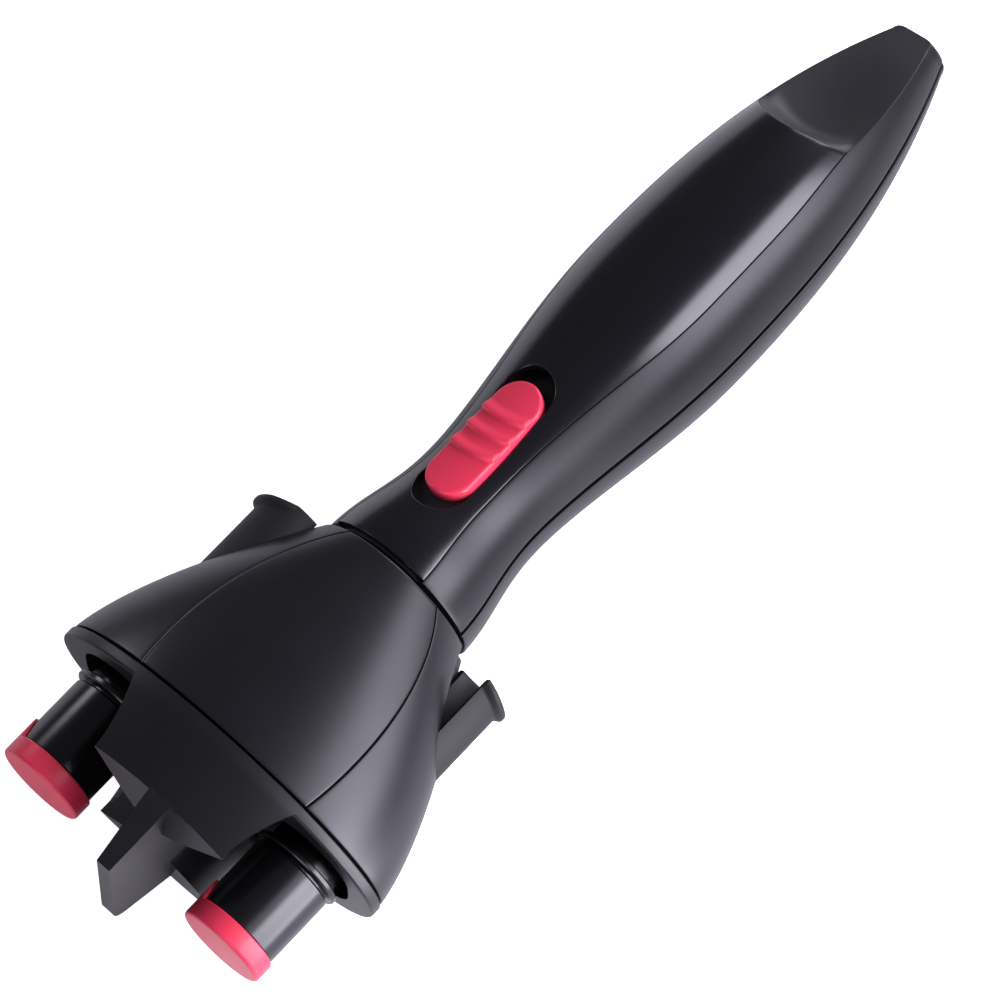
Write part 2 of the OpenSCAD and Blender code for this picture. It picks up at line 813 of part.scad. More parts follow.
carrier_r = planet_orbit + pin_r + 1.2;
module carrier(at) {
    rod(carrier_r, at, at + carrier_t);
    for (i = [0 : planet_count - 1])
        rod(pin_r, at + carrier_t - eps, at + carrier_t + side_gap + planet_face - 0.2,
            planet_orbit * cos(planet_angle(i)), planet_orbit * sin(planet_angle(i)), 32);
}

module first_carrier() {
    color(white_pom) handle_frame() {
        carrier(carrier1_at);
        gear(sun_teeth, gear_module, planets2_at, planet_face + side_gap + eps);
    }
}

module first_planet_1() {
    planet(0, planets1_at);
}

module first_planet_2() {
    planet(1, planets1_at);
}

module first_planet_3() {
    planet(2, planets1_at);
}

module second_planet_1() {
    planet(0, planets2_at);
}

module second_planet_2() {
    planet(1, planets2_at);
}

module second_planet_3() {
    planet(2, planets2_at);
}

module drive_shaft() {
    color(steel) handle_frame() {
        carrier(carrier2_at);
        rod(shaft_r, shaft_front, carrier2_at + eps);
    }
}

module sun_gear() {
    color(white_pom) along_x() difference() {
        union() {
            gear(head_sun_teeth, head_module, gears_at, head_face);
            rod(hub_bore_r, gears_at + head_face - eps, gear_gap_end + 1.6);
        }
        rod(shaft_r + 0.02, gears_at - 1, gear_plate_at + 1);
    }
}

module neck_sleeve() {
    color(black) handle_frame() {
        ring(sleeve_bore_r, sleeve_r, sleeve_at, flange_at + flange_t);
        ring(sleeve_bore_r, handle_collar_r - wall - 1.3, flange_at, flange_at + flange_t);
    }
}

clutch_wall_gap = 0.02;
module neck_bush() {
    color(brass) handle_frame()
        ring(hub_r + running, sleeve_bore_r - clutch_wall_gap, sleeve_at + 0.8, sleeve_at + 6.8);
}

module neck_clutch() {
    color(steel) handle_frame()
        ring(hub_r + running, sleeve_bore_r - clutch_wall_gap, sleeve_at + 8, flange_at - 1);
}

module hub_circlip() {
    color(steel) along_x()
        ring(hub_r - circlip_groove + 0.02, sleeve_bore_r + 0.6, circlip_at, circlip_at + circlip_t);
}

hub_shoulder_r = sleeve_bore_r + 0.6;
hub_flange_r = 11;
module head_hub() {
    color(black) along_x() difference() {
        union() {
            rod(hub_r, hub_front, hub_end);
            rod(hub_shoulder_r, hub_front, sleeve_at - 0.15);
            rod(hub_flange_r, hub_front, hub_front + 2);
        }
        rod(hub_bore_r, hub_front - 1, hub_end + 1);
        ring(hub_r - circlip_groove, hub_r + 1, circlip_at - 0.03, circlip_at + circlip_t + 0.03);
    }
}

module hub_clutch() {
    color(steel) along_x()
        ring(shaft_r + running, hub_bore_r - clutch_wall_gap, hub_front + 1, hub_front + 8);
}

module shaft_bush() {
    color(brass) along_x()
        ring(shaft_r + running, hub_bore_r - clutch_wall_gap, hub_end - 6, hub_end - 0.2);
}

// Share of the flare reached at a station: it is steep at the collar and dies out at the rim
function flare(u) = 1 - pow(1 - clamp01(-u / head_len), flare_power);
function half_w(u) = head_collar_r + (rim_half_w - head_collar_r) * flare(u);
function half_d(u) = head_collar_r + (rim_half_d - head_collar_r) * flare(u);
function seam_w(u) = seam_half_w * sqrt(max(0, 1 - pow((u - seam_mid) / seam_reach, 2)));
function seam_angle(u) = asin(min(0.98, seam_w(u) / half_w(u)));

shell_rings = 12;
shell_columns = 12;

// One shell of the head: a skin between two angles from the front, lofted from the rim to the
// collar. Angle a lies at (half_w sin a, half_d cos a), and the inner side is the outer one moved
// in by the wall.
module head_shell(start, sweep, gap) {
    rings = [for (i = [0 : shell_rings]) rim_at * (1 - i / shell_rings)];
    function skin_point(u, j, depth) = let (
            trim = gap / half_d(u) * 180 / PI / 2,
            a0 = start == 0 ? -seam_angle(u) + trim : seam_angle(u) + trim,
            a1 = start == 0 ? seam_angle(u) - trim : 180 - seam_angle(u) - trim,
            a = a0 + (a1 - a0) * j / sweep
        ) [u, (half_w(u) - depth) * sin(a), (half_d(u) - depth) * cos(a)];
    points = concat(
        [for (u = rings) for (j = [0 : sweep]) skin_point(u, j, 0)],
        [for (u = rings) for (j = [0 : sweep]) skin_point(u, j, head_wall)]
    );
    row = sweep + 1;
    inner = row * (shell_rings + 1);
    faces = concat(
        [for (i = [0 : shell_rings - 1]) for (j = [0 : sweep - 1]) each [
            [i * row + j, i * row + j + 1, (i + 1) * row + j + 1],
            [i * row + j, (i + 1) * row + j + 1, (i + 1) * row + j],
            [inner + i * row + j, inner + (i + 1) * row + j + 1, inner + i * row + j + 1],
            [inner + i * row + j, inner + (i + 1) * row + j, inner + (i + 1) * row + j + 1]
        ]],
        [for (j = [0 : sweep - 1]) each [
            [j, inner + j, j + 1],
            [j + 1, inner + j, inner + j + 1],
            [shell_rings * row + j, shell_rings * row + j + 1, inner + shell_rings * row + j],
            [shell_rings * row + j + 1, inner + shell_rings * row + j + 1,
                inner + shell_rings * row + j]
        ]],
        [for (i = [0 : shell_rings - 1]) each [
            [i * row, (i + 1) * row, inner + i * row],
            [(i + 1) * row, inner + (i + 1) * row, inner + i * row],
            [i * row + sweep, inner + i * row + sweep, (i + 1) * row + sweep],
            [(i + 1) * row + sweep, inner + i * row + sweep, inner + (i + 1) * row + sweep]
        ]]
    );
    polyhedron(points, faces);
}

module head_front_cover() {
    color(black) along_x() head_shell(0, shell_columns, shell_gap);
}

module head_back_cover() {
    color(black) along_x() rotate([180, 0, 0]) head_shell(0, shell_columns, shell_gap);
}

module left_cheek() {
    color(black) along_x() difference() {
        head_shell(1, shell_columns, shell_gap);
        rod(guide_r + cover_gap, guide_start, 5, roller_y);
        rod(lip_r + cover_gap, guide_end_at - 4, 5, roller_y);
    }
}

module right_cheek() {
    color(black) along_x() rotate([180, 0, 0]) difference() {
        head_shell(1, shell_columns, shell_gap);
        rod(guide_r + cover_gap, guide_start, 5, roller_y);
        rod(lip_r + cover_gap, guide_end_at - 4, 5, roller_y);
    }
}

ellipse_steps = 72;
module ellipse_plate(a, b, from, to) {
    translate([from, 0, 0]) rotate([90, 0, 90]) linear_extrude(to - from)
        polygon([for (i = [0 : ellipse_steps - 1])
            [a * cos(i * 360 / ellipse_steps), b * sin(i * 360 / ellipse_steps)]]);
}

module both_rollers() {
    for (side = [-1, 1]) translate([0, side * roller_y, 0]) children();
}

bush_t = 1.1;
// The nose's screws pass outside the sun gear, from behind the gear plate into the nose's posts
nose_screw_y = 5.7;
nose_screw_orbit = head_module * (head_sun_teeth / 2 + addendum) + side_gap + boss_r;
nose_screw_z = sqrt(pow(nose_screw_orbit, 2) - pow(nose_screw_y, 2));
nose_seat_at = gear_plate_at + gear_plate_t;
nose_thread_end = nose_seat_at - nose_screw_len;
module nose_screw_places() {
    for (side = [-1, 1]) translate([0, side * -nose_screw_y, side * nose_screw_z]) children();
}

// Oval pocket round a barrel's foot: it reaches further to the front and back than to the sides
module pocket(r, from, to) {
    for (side = [-1, 1]) rod(r, from, to, 0, side * pocket_reach);
    translate([from, -r, -pocket_reach]) cube([to - from, 2 * r, 2 * pocket_reach]);
}

plate_margin = 0.4;
module base_plate() {
    color(black) along_x() difference() {
        union() {
            ellipse_plate(rim_half_w + band_proud, rim_half_d + band_proud, plate_face_at, rim_at);
            both_rollers() pocket(pocket_r + 1.2, rim_at - eps, pocket_floor_at + pocket_floor_t - 0.9);
        }
        both_rollers() {
            pocket(pocket_r, plate_face_at - 1, pocket_floor_at - 0.9);
            rod(tube_r + running + bush_t, plate_face_at - 1, 0);
        }
        rod(shaft_r + running, shaft_front - 0.3, 0);
        nose_screw_places() rod(screw_r + 0.1, plate_face_at - 1, 0, fn = 24);
    }
}

module roller_bushes() {
    color(brass) along_x() both_rollers()
        ring(tube_r + running, tube_r + running + bush_t - 0.02, pocket_floor_at - 0.9,
            pocket_floor_at + pocket_floor_t - 0.9);
}

module gear_plate() {
    color(black) along_x() difference() {
        union() {
            ellipse_plate(half_w(gear_plate_at + gear_plate_t) - head_wall - plate_margin,
                half_d(gear_plate_at + gear_plate_t) - head_wall - plate_margin,
                gear_plate_at, gear_plate_at + gear_plate_t);
            nose_screw_places() rod(boss_r, rim_at + 0.1, gear_plate_at + eps, fn = 32);
        }
        both_rollers() rod(tube_r + running, gear_plate_at - 1, 0);
        rod(hub_bore_r + 0.1, gear_plate_at - 1, 0);
        nose_screw_places() rod(screw_r + 0.1, rim_at - 1, 0, fn = 24);
    }
}

// Section of a skirt: it spreads from the fin to the front or back, and shrinks by its wall for the hollow
module skirt_section(sign, wall_t) {
    rise = (flank_rim_z - flank_knee_z) / (skirt_half_w - skirt_low_half_w);
    far_z = flank_knee_z + rise * (big - skirt_low_half_w);
    flank = [
        [fin_t / 2, skirt_waist_z], [flank_turn_y, flank_turn_z],
        [skirt_low_half_w, flank_knee_z], [big, far_z], [big, big]
    ];
    offset(delta = -wall_t) polygon(concat(
        [for (p = flank) [p[0], sign * p[1]]],
        [for (p = reversed(flank)) [-p[0], sign * p[1]]]
    ));
}

// One skirt: its section, its front view and its side view together
module skirt(sign, low_at, lean, wall_t) {
    middle = (plate_face_at + front_skirt_at) / 2;
    middle_w = skirt_low_half_w + 0.32 * (skirt_half_w - skirt_low_half_w) - wall_t;
    end = plate_face_at + (wall_t > 0 ? 1 : 0);
    intersection() {
        translate([low_at - big, 0, 0]) rotate([90, 0, 90]) linear_extrude(end - low_at + big)
            skirt_section(sign, wall_t);
        translate([0, 0, -big]) linear_extrude(2 * big) polygon([
            [end, wall_t - skirt_half_w], [end, skirt_half_w - wall_t],
            [middle, middle_w], [low_at, skirt_low_half_w - wall_t],
            [low_at - big, skirt_low_half_w - wall_t], [low_at - big, wall_t - skirt_low_half_w],
            [low_at, wall_t - skirt_low_half_w], [middle, -middle_w]
        ]);
        translate([0, big, 0]) rotate([90, 0, 0]) linear_extrude(2 * big) polygon([
            [end, sign * (rim_half_d + band_proud - wall_t)],
            [low_at + wall_t, sign * (skirt_low_half_d - wall_t)],
            [low_at + wall_t - (skirt_low_half_d - wall_t) * tan(lean), 0], [end, 0]
        ]);
        ellipse_plate(rim_half_w + band_proud - wall_t, rim_half_d + band_proud - wall_t,
            low_at - big, end);
    }
}

// Divider fin between the rollers, with a slanted, chisel-like tip
module fin() {
    intersection() {
        translate([0, fin_t / 2, 0]) rotate([90, 0, 0]) linear_extrude(fin_t) polygon([
            [plate_face_at, skirt_low_half_d], [front_skirt_at, skirt_low_half_d],
            [fin_tip + fin_setback, skirt_low_half_d - 0.5],
            [fin_tip, -fin_tip_z], [back_skirt_at, -fin_root_z],
            [plate_face_at, -fin_root_z]
        ]);
        translate([0, 0, -big]) linear_extrude(2 * big) polygon([
            [plate_face_at, -fin_t / 2], [fin_tip, -fin_t / 2],
            [fin_tip, fin_t / 2 - fin_taper], [front_skirt_at, fin_t / 2], [plate_face_at, fin_t / 2]
        ]);
    }
}

module nose_block() {
    color(black) along_x() difference() {
        union() {
            difference() {
                union() {
                    skirt(1, front_skirt_at, skirt_lean, 0);
                    skirt(-1, back_skirt_at, 0, 0);
                }
                // the skirts are hollow round their screw posts
                difference() {
                    union() {
                        skirt(1, front_skirt_at, skirt_lean, nose_wall);
                        skirt(-1, back_skirt_at, 0, nose_wall);
                    }
                    nose_screw_places() rod(boss_r, fin_tip, 0, fn = 32);
                }
            }
            fin();
        }
        nose_screw_places() rod(screw_r, nose_thread_end - 1, 0, fn = 24);
    }
}

module nose_screws() {
    color(steel) along_x() nose_screw_places() {
        rod(screw_r - 0.05, nose_thread_end, nose_seat_at + eps, fn = 24);
        rod(screw_head_r, nose_seat_at, nose_seat_at + screw_head_h, fn = 32);
    }
}

// Hair guide behind a roller: a full tube inside the head and an open hook outside it
module hair_guide(side) {
    color(black) along_x() rotate([side > 0 ? 180 : 0, 0, 0]) translate([0, -roller_y, 0])
    difference() {
        union() {
            rod(guide_r, guide_start, guide_end_at);
            intersection() {
                rod(lip_r, guide_end_at - 6, guide_end_at + 3);
                translate([guide_end_at, 0, 0]) rotate([0, 0, -lip_slant])
                    translate([-lip_t, -big / 2, -big / 2]) cube([lip_t, big / 2, big]);
                translate([guide_end_at - 9, -big / 2, -big / 2]) cube([20, big / 2 + 1, big]);
            }
        }
        rod(guide_bore_r, guide_start - 1, guide_end_at + 5);
        translate([guide_end_at, 0, 0]) rotate([0, 0, -lip_slant])
            translate([0, -big / 2, -big / 2]) cube([big, big / 2 + 4, big]);
        translate([guide_end_at, 0, -big / 2]) cube([big, big, big]);
        translate([guide_open_at, -guide_edge, 0]) cube([big, guide_edge + guide_inner_edge, big]);
    }
}

module left_hair_guide() {
    hair_guide(1);
}

module right_hair_guide() {
    hair_guide(-1);
}

cap_face_t = 1.6;
barrel_end = plate_face_at - barrel_clear;
foot_from = barrel_end + 0.7;
foot_to = foot_from + 1.3;
neck_end = pocket_floor_at - 0.9 - 0.3;
module roller(side) {
    color(gloss_black) along_x() translate([0, side * roller_y, 0]) difference() {
        union() {
            rod(barrel_r, cap_at + cap_len + 0.05, barrel_end);
            rod(barrel_r - 0.9, barrel_end - eps, neck_end);
            rod(foot_r, foot_from, foot_to);
            rod(tube_r, cap_at + cap_face_t + 0.05, guide_start - side_gap);
        }
        rod(hair_bore_r, cap_at + cap_len, guide_start);
        // slot through which the hair leaves the barrel
        translate([cap_at + cap_len + 2, -hair_slot_w / 2, -big])
            cube([hair_slot_len, hair_slot_w, big]);
    }
}

module roller_cap(side) {
    color(red) along_x() translate([cap_at, side * roller_y, 0]) {
        rotate([0, 90, 0]) rotate_extrude($fn = round_fn) polygon(concat(
            [[0, 0]],
            [for (i = [0 : 6])
                [cap_r - cap_edge + cap_edge * sin(15 * i), cap_edge - cap_edge * cos(15 * i)]],
            [[cap_r, cap_len], [tube_r + 0.02, cap_len], [tube_r + 0.02, cap_face_t], [0, cap_face_t]]
        ));
        // pointed ear along the barrel's side
        intersection() {
            ring(barrel_r + 0.12, cap_r - 0.05, cap_len - 1, cap_len + ear_len);
            translate([0, 0, -big / 2]) cube(big);
            translate([0, big, 0]) rotate([90, 0, 0]) linear_extrude(big) polygon([
                [0, -cap_r * sin(ear_angle)], [cap_len, -cap_r * sin(ear_angle)],
                [cap_len + ear_len, -0.6], [cap_len + ear_len, 0.6],
                [cap_len, cap_r * sin(ear_angle)], [0, cap_r * sin(ear_angle)]
            ]);
        }
    }
}

module roller_gear(side) {
    color(white_pom) along_x() difference() {
        gear(roller_teeth, head_module, gears_at, head_face, 180 / roller_teeth, side * roller_y);
        rod(tube_r + 0.02, gears_at - 1, gears_at + head_face + 1, side * roller_y);
    }
}

module left_roller() {
    roller(1);
}

module left_roller_cap() {
    roller_cap(1);
}

module left_roller_gear() {
    roller_gear(1);
}

module right_roller() {
    roller(-1);
}

module right_roller_cap() {
    roller_cap(-1);
}

module right_roller_gear() {
    roller_gear(-1);
}

handle_front_shell();
handle_front_panel();
handle_back_shell();
battery_cover();
handle_screws();
switch_knob();
switch_body();
cell_1();
cell_2();
battery_contact_front();
battery_contact_rear();
battery_leads();
motor_leads();
motor_can();
motor_end_cap();
motor_magnets();
motor_armature();
motor_pinion();
gearbox_housing();
first_carrier();
first_planet_1();
first_planet_2();
first_planet_3();
second_planet_1();
second_planet_2();
second_planet_3();
drive_shaft();
sun_gear();
neck_sleeve();
neck_bush();
neck_clutch();
hub_circlip();
head_hub();
hub_clutch();
shaft_bush();
gear_plate();
head_front_cover();
head_back_cover();
left_cheek();
right_cheek();
base_plate();
nose_block();
nose_screws();
roller_bushes();
left_hair_guide();
right_hair_guide();
left_roller();
left_roller_cap();
left_roller_gear();
right_roller();
right_roller_cap();
right_roller_gear();
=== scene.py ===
"""Looks of the hair braider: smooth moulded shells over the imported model, their finishes, a soft studio and the
camera."""
import json

import bmesh
import bpy
import numpy as np
from mathutils import Matrix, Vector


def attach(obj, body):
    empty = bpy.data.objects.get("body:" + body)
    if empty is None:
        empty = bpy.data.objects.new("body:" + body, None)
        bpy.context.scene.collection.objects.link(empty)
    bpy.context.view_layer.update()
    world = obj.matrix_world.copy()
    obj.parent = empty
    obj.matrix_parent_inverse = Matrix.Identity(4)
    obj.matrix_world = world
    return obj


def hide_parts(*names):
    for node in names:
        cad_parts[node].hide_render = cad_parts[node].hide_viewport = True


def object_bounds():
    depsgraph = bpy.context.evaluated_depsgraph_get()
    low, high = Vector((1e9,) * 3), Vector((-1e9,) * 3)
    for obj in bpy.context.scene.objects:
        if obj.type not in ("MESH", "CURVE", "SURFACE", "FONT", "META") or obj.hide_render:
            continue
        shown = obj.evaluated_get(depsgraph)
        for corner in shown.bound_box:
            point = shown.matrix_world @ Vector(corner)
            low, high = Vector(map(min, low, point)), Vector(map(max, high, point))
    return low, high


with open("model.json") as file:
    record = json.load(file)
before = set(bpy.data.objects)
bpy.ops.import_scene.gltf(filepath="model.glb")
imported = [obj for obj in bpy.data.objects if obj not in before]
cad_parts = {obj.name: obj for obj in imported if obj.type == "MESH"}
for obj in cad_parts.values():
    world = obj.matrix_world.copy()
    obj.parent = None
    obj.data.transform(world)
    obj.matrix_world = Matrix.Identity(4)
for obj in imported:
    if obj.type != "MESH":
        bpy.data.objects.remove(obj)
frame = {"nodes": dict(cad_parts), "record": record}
cad_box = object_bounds()

MM = 0.001
COLLAR_X = -38.3
HANDLE_TURN = np.radians(20)

# Handle, in mm, by stations from the collar
HANDLE_FRONT, HANDLE_END, TIP_ROUND = 1.0, 160.0, 1.4
COLLAR_R, NECK_R, NECK_AT, BULGE_R, BULGE_AT, TIP_R = 18.2, 14.7, 27.0, 20.2, 82.0, 6.5
WALL, PANEL_T = 2.2, 1.6
PANEL_FROM = 1.6
SCOOP_AT, SCOOP_EDGE_R, SCOOP_FLOOR_Z, SCOOP_SLOPE = 122.0, 19.0, 11.9, np.radians(10.2)
SLOT_AT, SLOT_LEN, SLOT_W, SEAT_Z = 32.0, 37.0, 11.8, 12.95
KNOB_LEN, KNOB_W, KNOB_PROUD, RIDGE_PITCH = 29.6, 11.2, 1.1, 4.7
DOOR_FROM, DOOR_TO, DOOR_HALF_W = 67.1, 123.7, 13.5

# Head
HEAD_LEN, HEAD_COLLAR_R, RIM_HALF_W, RIM_HALF_D, FLARE = 48.5, 18.9, 40.8, 24.4, 1.45
SEAM_HALF_W, SEAM_MID, SEAM_REACH = 22.2, -37.0, 43.0
BAND_H, BAND_PROUD = 2.4, 0.3
ROLLER_Y, BARREL_R, CAP_R, CAP_LEN, CAP_AT = 24.0, 9.0, 9.6, 4.4, -75.5
EAR_LEN, EAR_ANGLE = 5.2, np.radians(34)
POCKET_R, POCKET_REACH, BARREL_CLEAR = 10.8, 2.4, 4.1
GUIDE_BORE_R, GUIDE_R, GUIDE_START, GUIDE_OPEN, GUIDE_END = 6.2, 8.0, -34.7, -19.0, -1.2
LIP_R, LIP_SLANT, GUIDE_EDGE_Y = 9.3, np.radians(18), 27.3

# Nose
SKIRT_W, SKIRT_LOW_W, SKIRT_LOW_D = 21.8, 16.6, 22.3
FRONT_SKIRT_AT, BACK_SKIRT_AT, SKIRT_LEAN = -65.5, -67.6, np.tan(np.radians(14.9))
WAIST_Z, FLANK_Y, FLANK_Z, KNEE_Z = 11.0, 8.0, 14.0, 20.2
FIN_T, FIN_TAPER, FIN_TIP, FIN_SETBACK, FIN_TIP_Z = 5.6, 2.5, -83.4, 1.1, 11.0


# ---------------------------------------------------------------- meshes

def in_handle(u, y, z):
    """Handle coordinates in mm to the row frame in metres: shifted to the collar and turned about the axis."""
    c, s = np.cos(HANDLE_TURN), np.sin(HANDLE_TURN)
    u, y, z = np.broadcast_arrays(u, y, z)
    return np.stack([u + COLLAR_X, y * c + z * s, z * c - y * s], -1) * MM


def in_head(u, y, z):
    """Head coordinates in mm to the row frame in metres: shifted to the collar."""
    u, y, z = np.broadcast_arrays(u, y, z)
    return np.stack([u + COLLAR_X, y, z], -1) * MM


def quads(n, m, wrap=False):
    """Four corners of each cell of an n by m grid of points; wrap joins the last column to the first."""
    i = np.arange(n * m).reshape(n, m)
    if wrap:
        i = np.concatenate([i, i[:, :1]], 1)
    return np.stack([i[:-1, :-1], i[1:, :-1], i[1:, 1:], i[:-1, 1:]], -1).reshape(-1, 4)


def walled(outer, inner):
    """A wall: its outer and inner side are grids of one size, and a strip round their border closes it."""
    n, m = outer.shape[:2]
    i = np.arange(n * m).reshape(n, m)
    ring = np.concatenate([i[0, :-1], i[:-1, -1], i[-1, :0:-1], i[:0:-1, 0]])
    after = np.roll(ring, -1)
    q = quads(n, m)
    strip = np.stack([ring, after, after + n * m, ring + n * m], -1)
    return (np.concatenate([outer.reshape(-1, 3), inner.reshape(-1, 3)]),
            np.concatenate([q, q[:, ::-1] + n * m, strip]))


def hooped(grid):
    """A skin closed round its columns; its first and last rows are shrunk to points or meet each other."""
    n, m = grid.shape[:2]
    return grid.reshape(-1, 3), quads(n, m, wrap=True)


def made(name, islands, finish, body, stands_for=()):
    """One object from closed islands of points and faces. The volume under each island's faces tells which way
    they point, and those that point inwards are turned round. Shared corners are merged."""
    points, faces, count = [], [], 0
    for p, f in islands:
        a, b, c, d = (p[f[:, k]] - p.mean(0) for k in range(4))
        volume = (np.cross(a, b) * c).sum() + (np.cross(a, c) * d).sum()
        faces.append((f if volume > 0 else f[:, ::-1]) + count)
        points.append(p)
        count += len(p)
    points, faces = np.concatenate(points), np.concatenate(faces)
    mesh = bpy.data.meshes.new(name)
    mesh.from_pydata(points.tolist(), [], faces.tolist())
    tidy = bpy.data.meshes.new(name)
    work = bmesh.new()
    work.from_mesh(mesh)
    bmesh.ops.remove_doubles(work, verts=work.verts, dist=2e-6)
    bmesh.ops.dissolve_degenerate(work, edges=work.edges, dist=1e-7)
    work.to_mesh(tidy)
    work.free()
    bpy.data.meshes.remove(mesh)
    tidy.polygons.foreach_set("use_smooth", np.ones(len(tidy.polygons), bool))
    tidy.set_sharp_from_angle(angle=np.radians(38))
    obj = bpy.data.objects.new(name, tidy)
    bpy.context.scene.collection.objects.link(obj)
    obj.data.materials.append(finish)
    if body:
        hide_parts(*stands_for)
        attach(obj, body)
    return obj


def cut(obj, cutter):
    """Takes the closed mesh cutter out of obj and deletes it."""
    step = obj.modifiers.new("cut", "BOOLEAN")
    step.operation, step.solver, step.object = "DIFFERENCE", "EXACT", cutter
    dg = bpy.context.evaluated_depsgraph_get()
    mesh = bpy.data.meshes.new_from_object(obj.evaluated_get(dg))
    obj.modifiers.clear()
    old, obj.data = obj.data, mesh
    mesh.name = obj.name
    bpy.data.meshes.remove(old)
    spare = cutter.data
    bpy.data.objects.remove(cutter)
    bpy.data.meshes.remove(spare)
    obj.data.set_sharp_from_angle(angle=np.radians(38))


EDGE_STEPS = np.array([0, 0.03, 0.13, 0.32, 0.62, 1.0])


def edged(start, end, e, n, first=True, last=True):
    """Stations from start to end, with extra ones where an edge of radius e turns over at either end."""
    start, end = np.broadcast_arrays(np.asarray(start, float), np.asarray(end, float))
    a = start + (e if first else 0)
    b = end - (e if last else 0)
    t = np.linspace(0, 1, n).reshape((n,) + (1,) * start.ndim)
    rows = [a + (b - a) * t]
    f = (EDGE_STEPS * e).reshape((-1,) + (1,) * start.ndim)
    if first:
        rows.insert(0, (start + f)[:-1])
    if last:
        rows.append((end - f[::-1])[1:])
    return np.concatenate(rows)


def rolled(distance, e):
    """Depth of a rounded edge below the surface at a distance from the border: a quarter circle of radius e."""
    return e - np.sqrt(np.maximum(0, e * e - np.clip(e - distance, 0, e) ** 2))


def lathe(profile, place, y=0.0, z=0.0, n=96):
    """A solid of revolution about an axis along X: profile is rows of station and radius."""
    a = np.linspace(0, 2 * np.pi, n, endpoint=False)
    u, r = np.asarray(profile, float).T
    return hooped(place(u[:, None] + 0 * a, y + r[:, None] * np.sin(a), z + r[:, None] * np.cos(a)))


def fillet(corners, radii, n=5):
    """A polyline with each corner rounded by a curve that leaves its sides at the given distance."""
    c = np.asarray(corners, float)
    out = [c[:1]]
    t = np.linspace(0, 1, n)[:, None]
    for k in range(1, len(c) - 1):
        if radii[k] == 0:
            out.append(c[k:k + 1])
            continue
        a = c[k] + (c[k - 1] - c[k]) / np.linalg.norm(c[k - 1] - c[k]) * radii[k]
        b = c[k] + (c[k + 1] - c[k]) / np.linalg.norm(c[k + 1] - c[k]) * radii[k]
        out.append((1 - t) ** 2 * a + 2 * t * (1 - t) * c[k] + t * t * b)
    out.append(c[-1:])
    return np.concatenate(out)


# ---------------------------------------------------------------- shapes of the handle

def ease(t):
    """A smooth step from 0 to 1: half a cosine wave."""
    t = np.clip(t, 0, 1)
    return (1 - np.cos(np.pi * t)) / 2


STATION = np.linspace(-10, 175, 3701)


def outline(u):
    """Radius of the handle before smoothing: a bell at the collar, a neck, a palm swell, a tapering end."""
    bell = NECK_R + (COLLAR_R - NECK_R) * (1 - ease((u - HANDLE_FRONT) / (NECK_AT - HANDLE_FRONT))) ** 1.25
    swell = NECK_R + (BULGE_R - NECK_R) * ease((u - NECK_AT) / (BULGE_AT - NECK_AT)) ** 0.8
    taper = BULGE_R - (BULGE_R - TIP_R) * (np.clip(u - BULGE_AT, 0, None) / (HANDLE_END - BULGE_AT)) ** 2.4
    return np.where(u <= NECK_AT, bell, np.where(u <= BULGE_AT, swell, taper))


SMOOTH = np.exp(-(np.arange(-120, 121) * 0.05 / 2.2) ** 2 / 2)
RADIUS = np.convolve(np.pad(outline(STATION), 120, "edge"), SMOOTH / SMOOTH.sum(), "valid")


def handle_r(u):
    """Radius of the handle at a station, after smoothing."""
    return np.interp(u, STATION, RADIUS)


def panel_angle(u):
    """Half angle of the front panel: it widens from the neck to the palm swell and narrows at the scoop."""
    wide = np.radians(37 + 12 * ease((u - 27) / 55))
    at_collar = np.radians(4) * (1 - ease(u / 20))
    return wide + at_collar - np.radians(2.6) * ease((u - 104) / 24)


def scoop_floor(u):
    """Height of the scoop's plane floor at a station."""
    return SCOOP_FLOOR_Z - (u - SCOOP_AT) * np.tan(SCOOP_SLOPE)


def scoop_arc(y):
    """Station of the scoop's round edge at a distance from the centre line."""
    y = np.clip(np.abs(y), 0, SCOOP_EDGE_R * 0.98)
    return SCOOP_AT + SCOOP_EDGE_R - np.sqrt(SCOOP_EDGE_R ** 2 - y * y)


corner_u = 127.0
for _ in range(12):
    corner_u = scoop_arc(handle_r(corner_u) * np.sin(panel_angle(corner_u)))
CORNER_Y = handle_r(corner_u) * np.sin(panel_angle(corner_u))
CORNER_DROP = handle_r(corner_u) * np.cos(panel_angle(corner_u)) - scoop_floor(corner_u)


def floor_z(u):
    """Height of the scoop's floor edge: the sloping plane, met by the corner of the panel at its front."""
    return scoop_floor(u) + CORNER_DROP * np.exp(-np.clip(u - corner_u, 0, None) / 6.0)


def end_rows(n_along, first_edge):
    """Stations and radii along the handle, past the rounded end to the axis."""
    u = edged(HANDLE_FRONT, HANDLE_END - TIP_ROUND, first_edge, n_along, last=False)
    r = handle_r(u)
    turn = np.linspace(0, np.pi / 2, 7)[1:]
    tip = r[-1] - TIP_ROUND * (1 - np.cos(turn))
    u = np.concatenate([u, HANDLE_END - TIP_ROUND + TIP_ROUND * np.sin(turn), [HANDLE_END] * 4])
    r = np.concatenate([r, tip, tip[-1] * np.array([0.75, 0.5, 0.25, 0])])
    return u, r


# Gap beside a parting line, on each side of it, and radius of the edges there
SHELL_GAP, SHELL_EDGE = 0.55, 0.3
PANEL_GAP, PANEL_EDGE = 0.05, 0.15


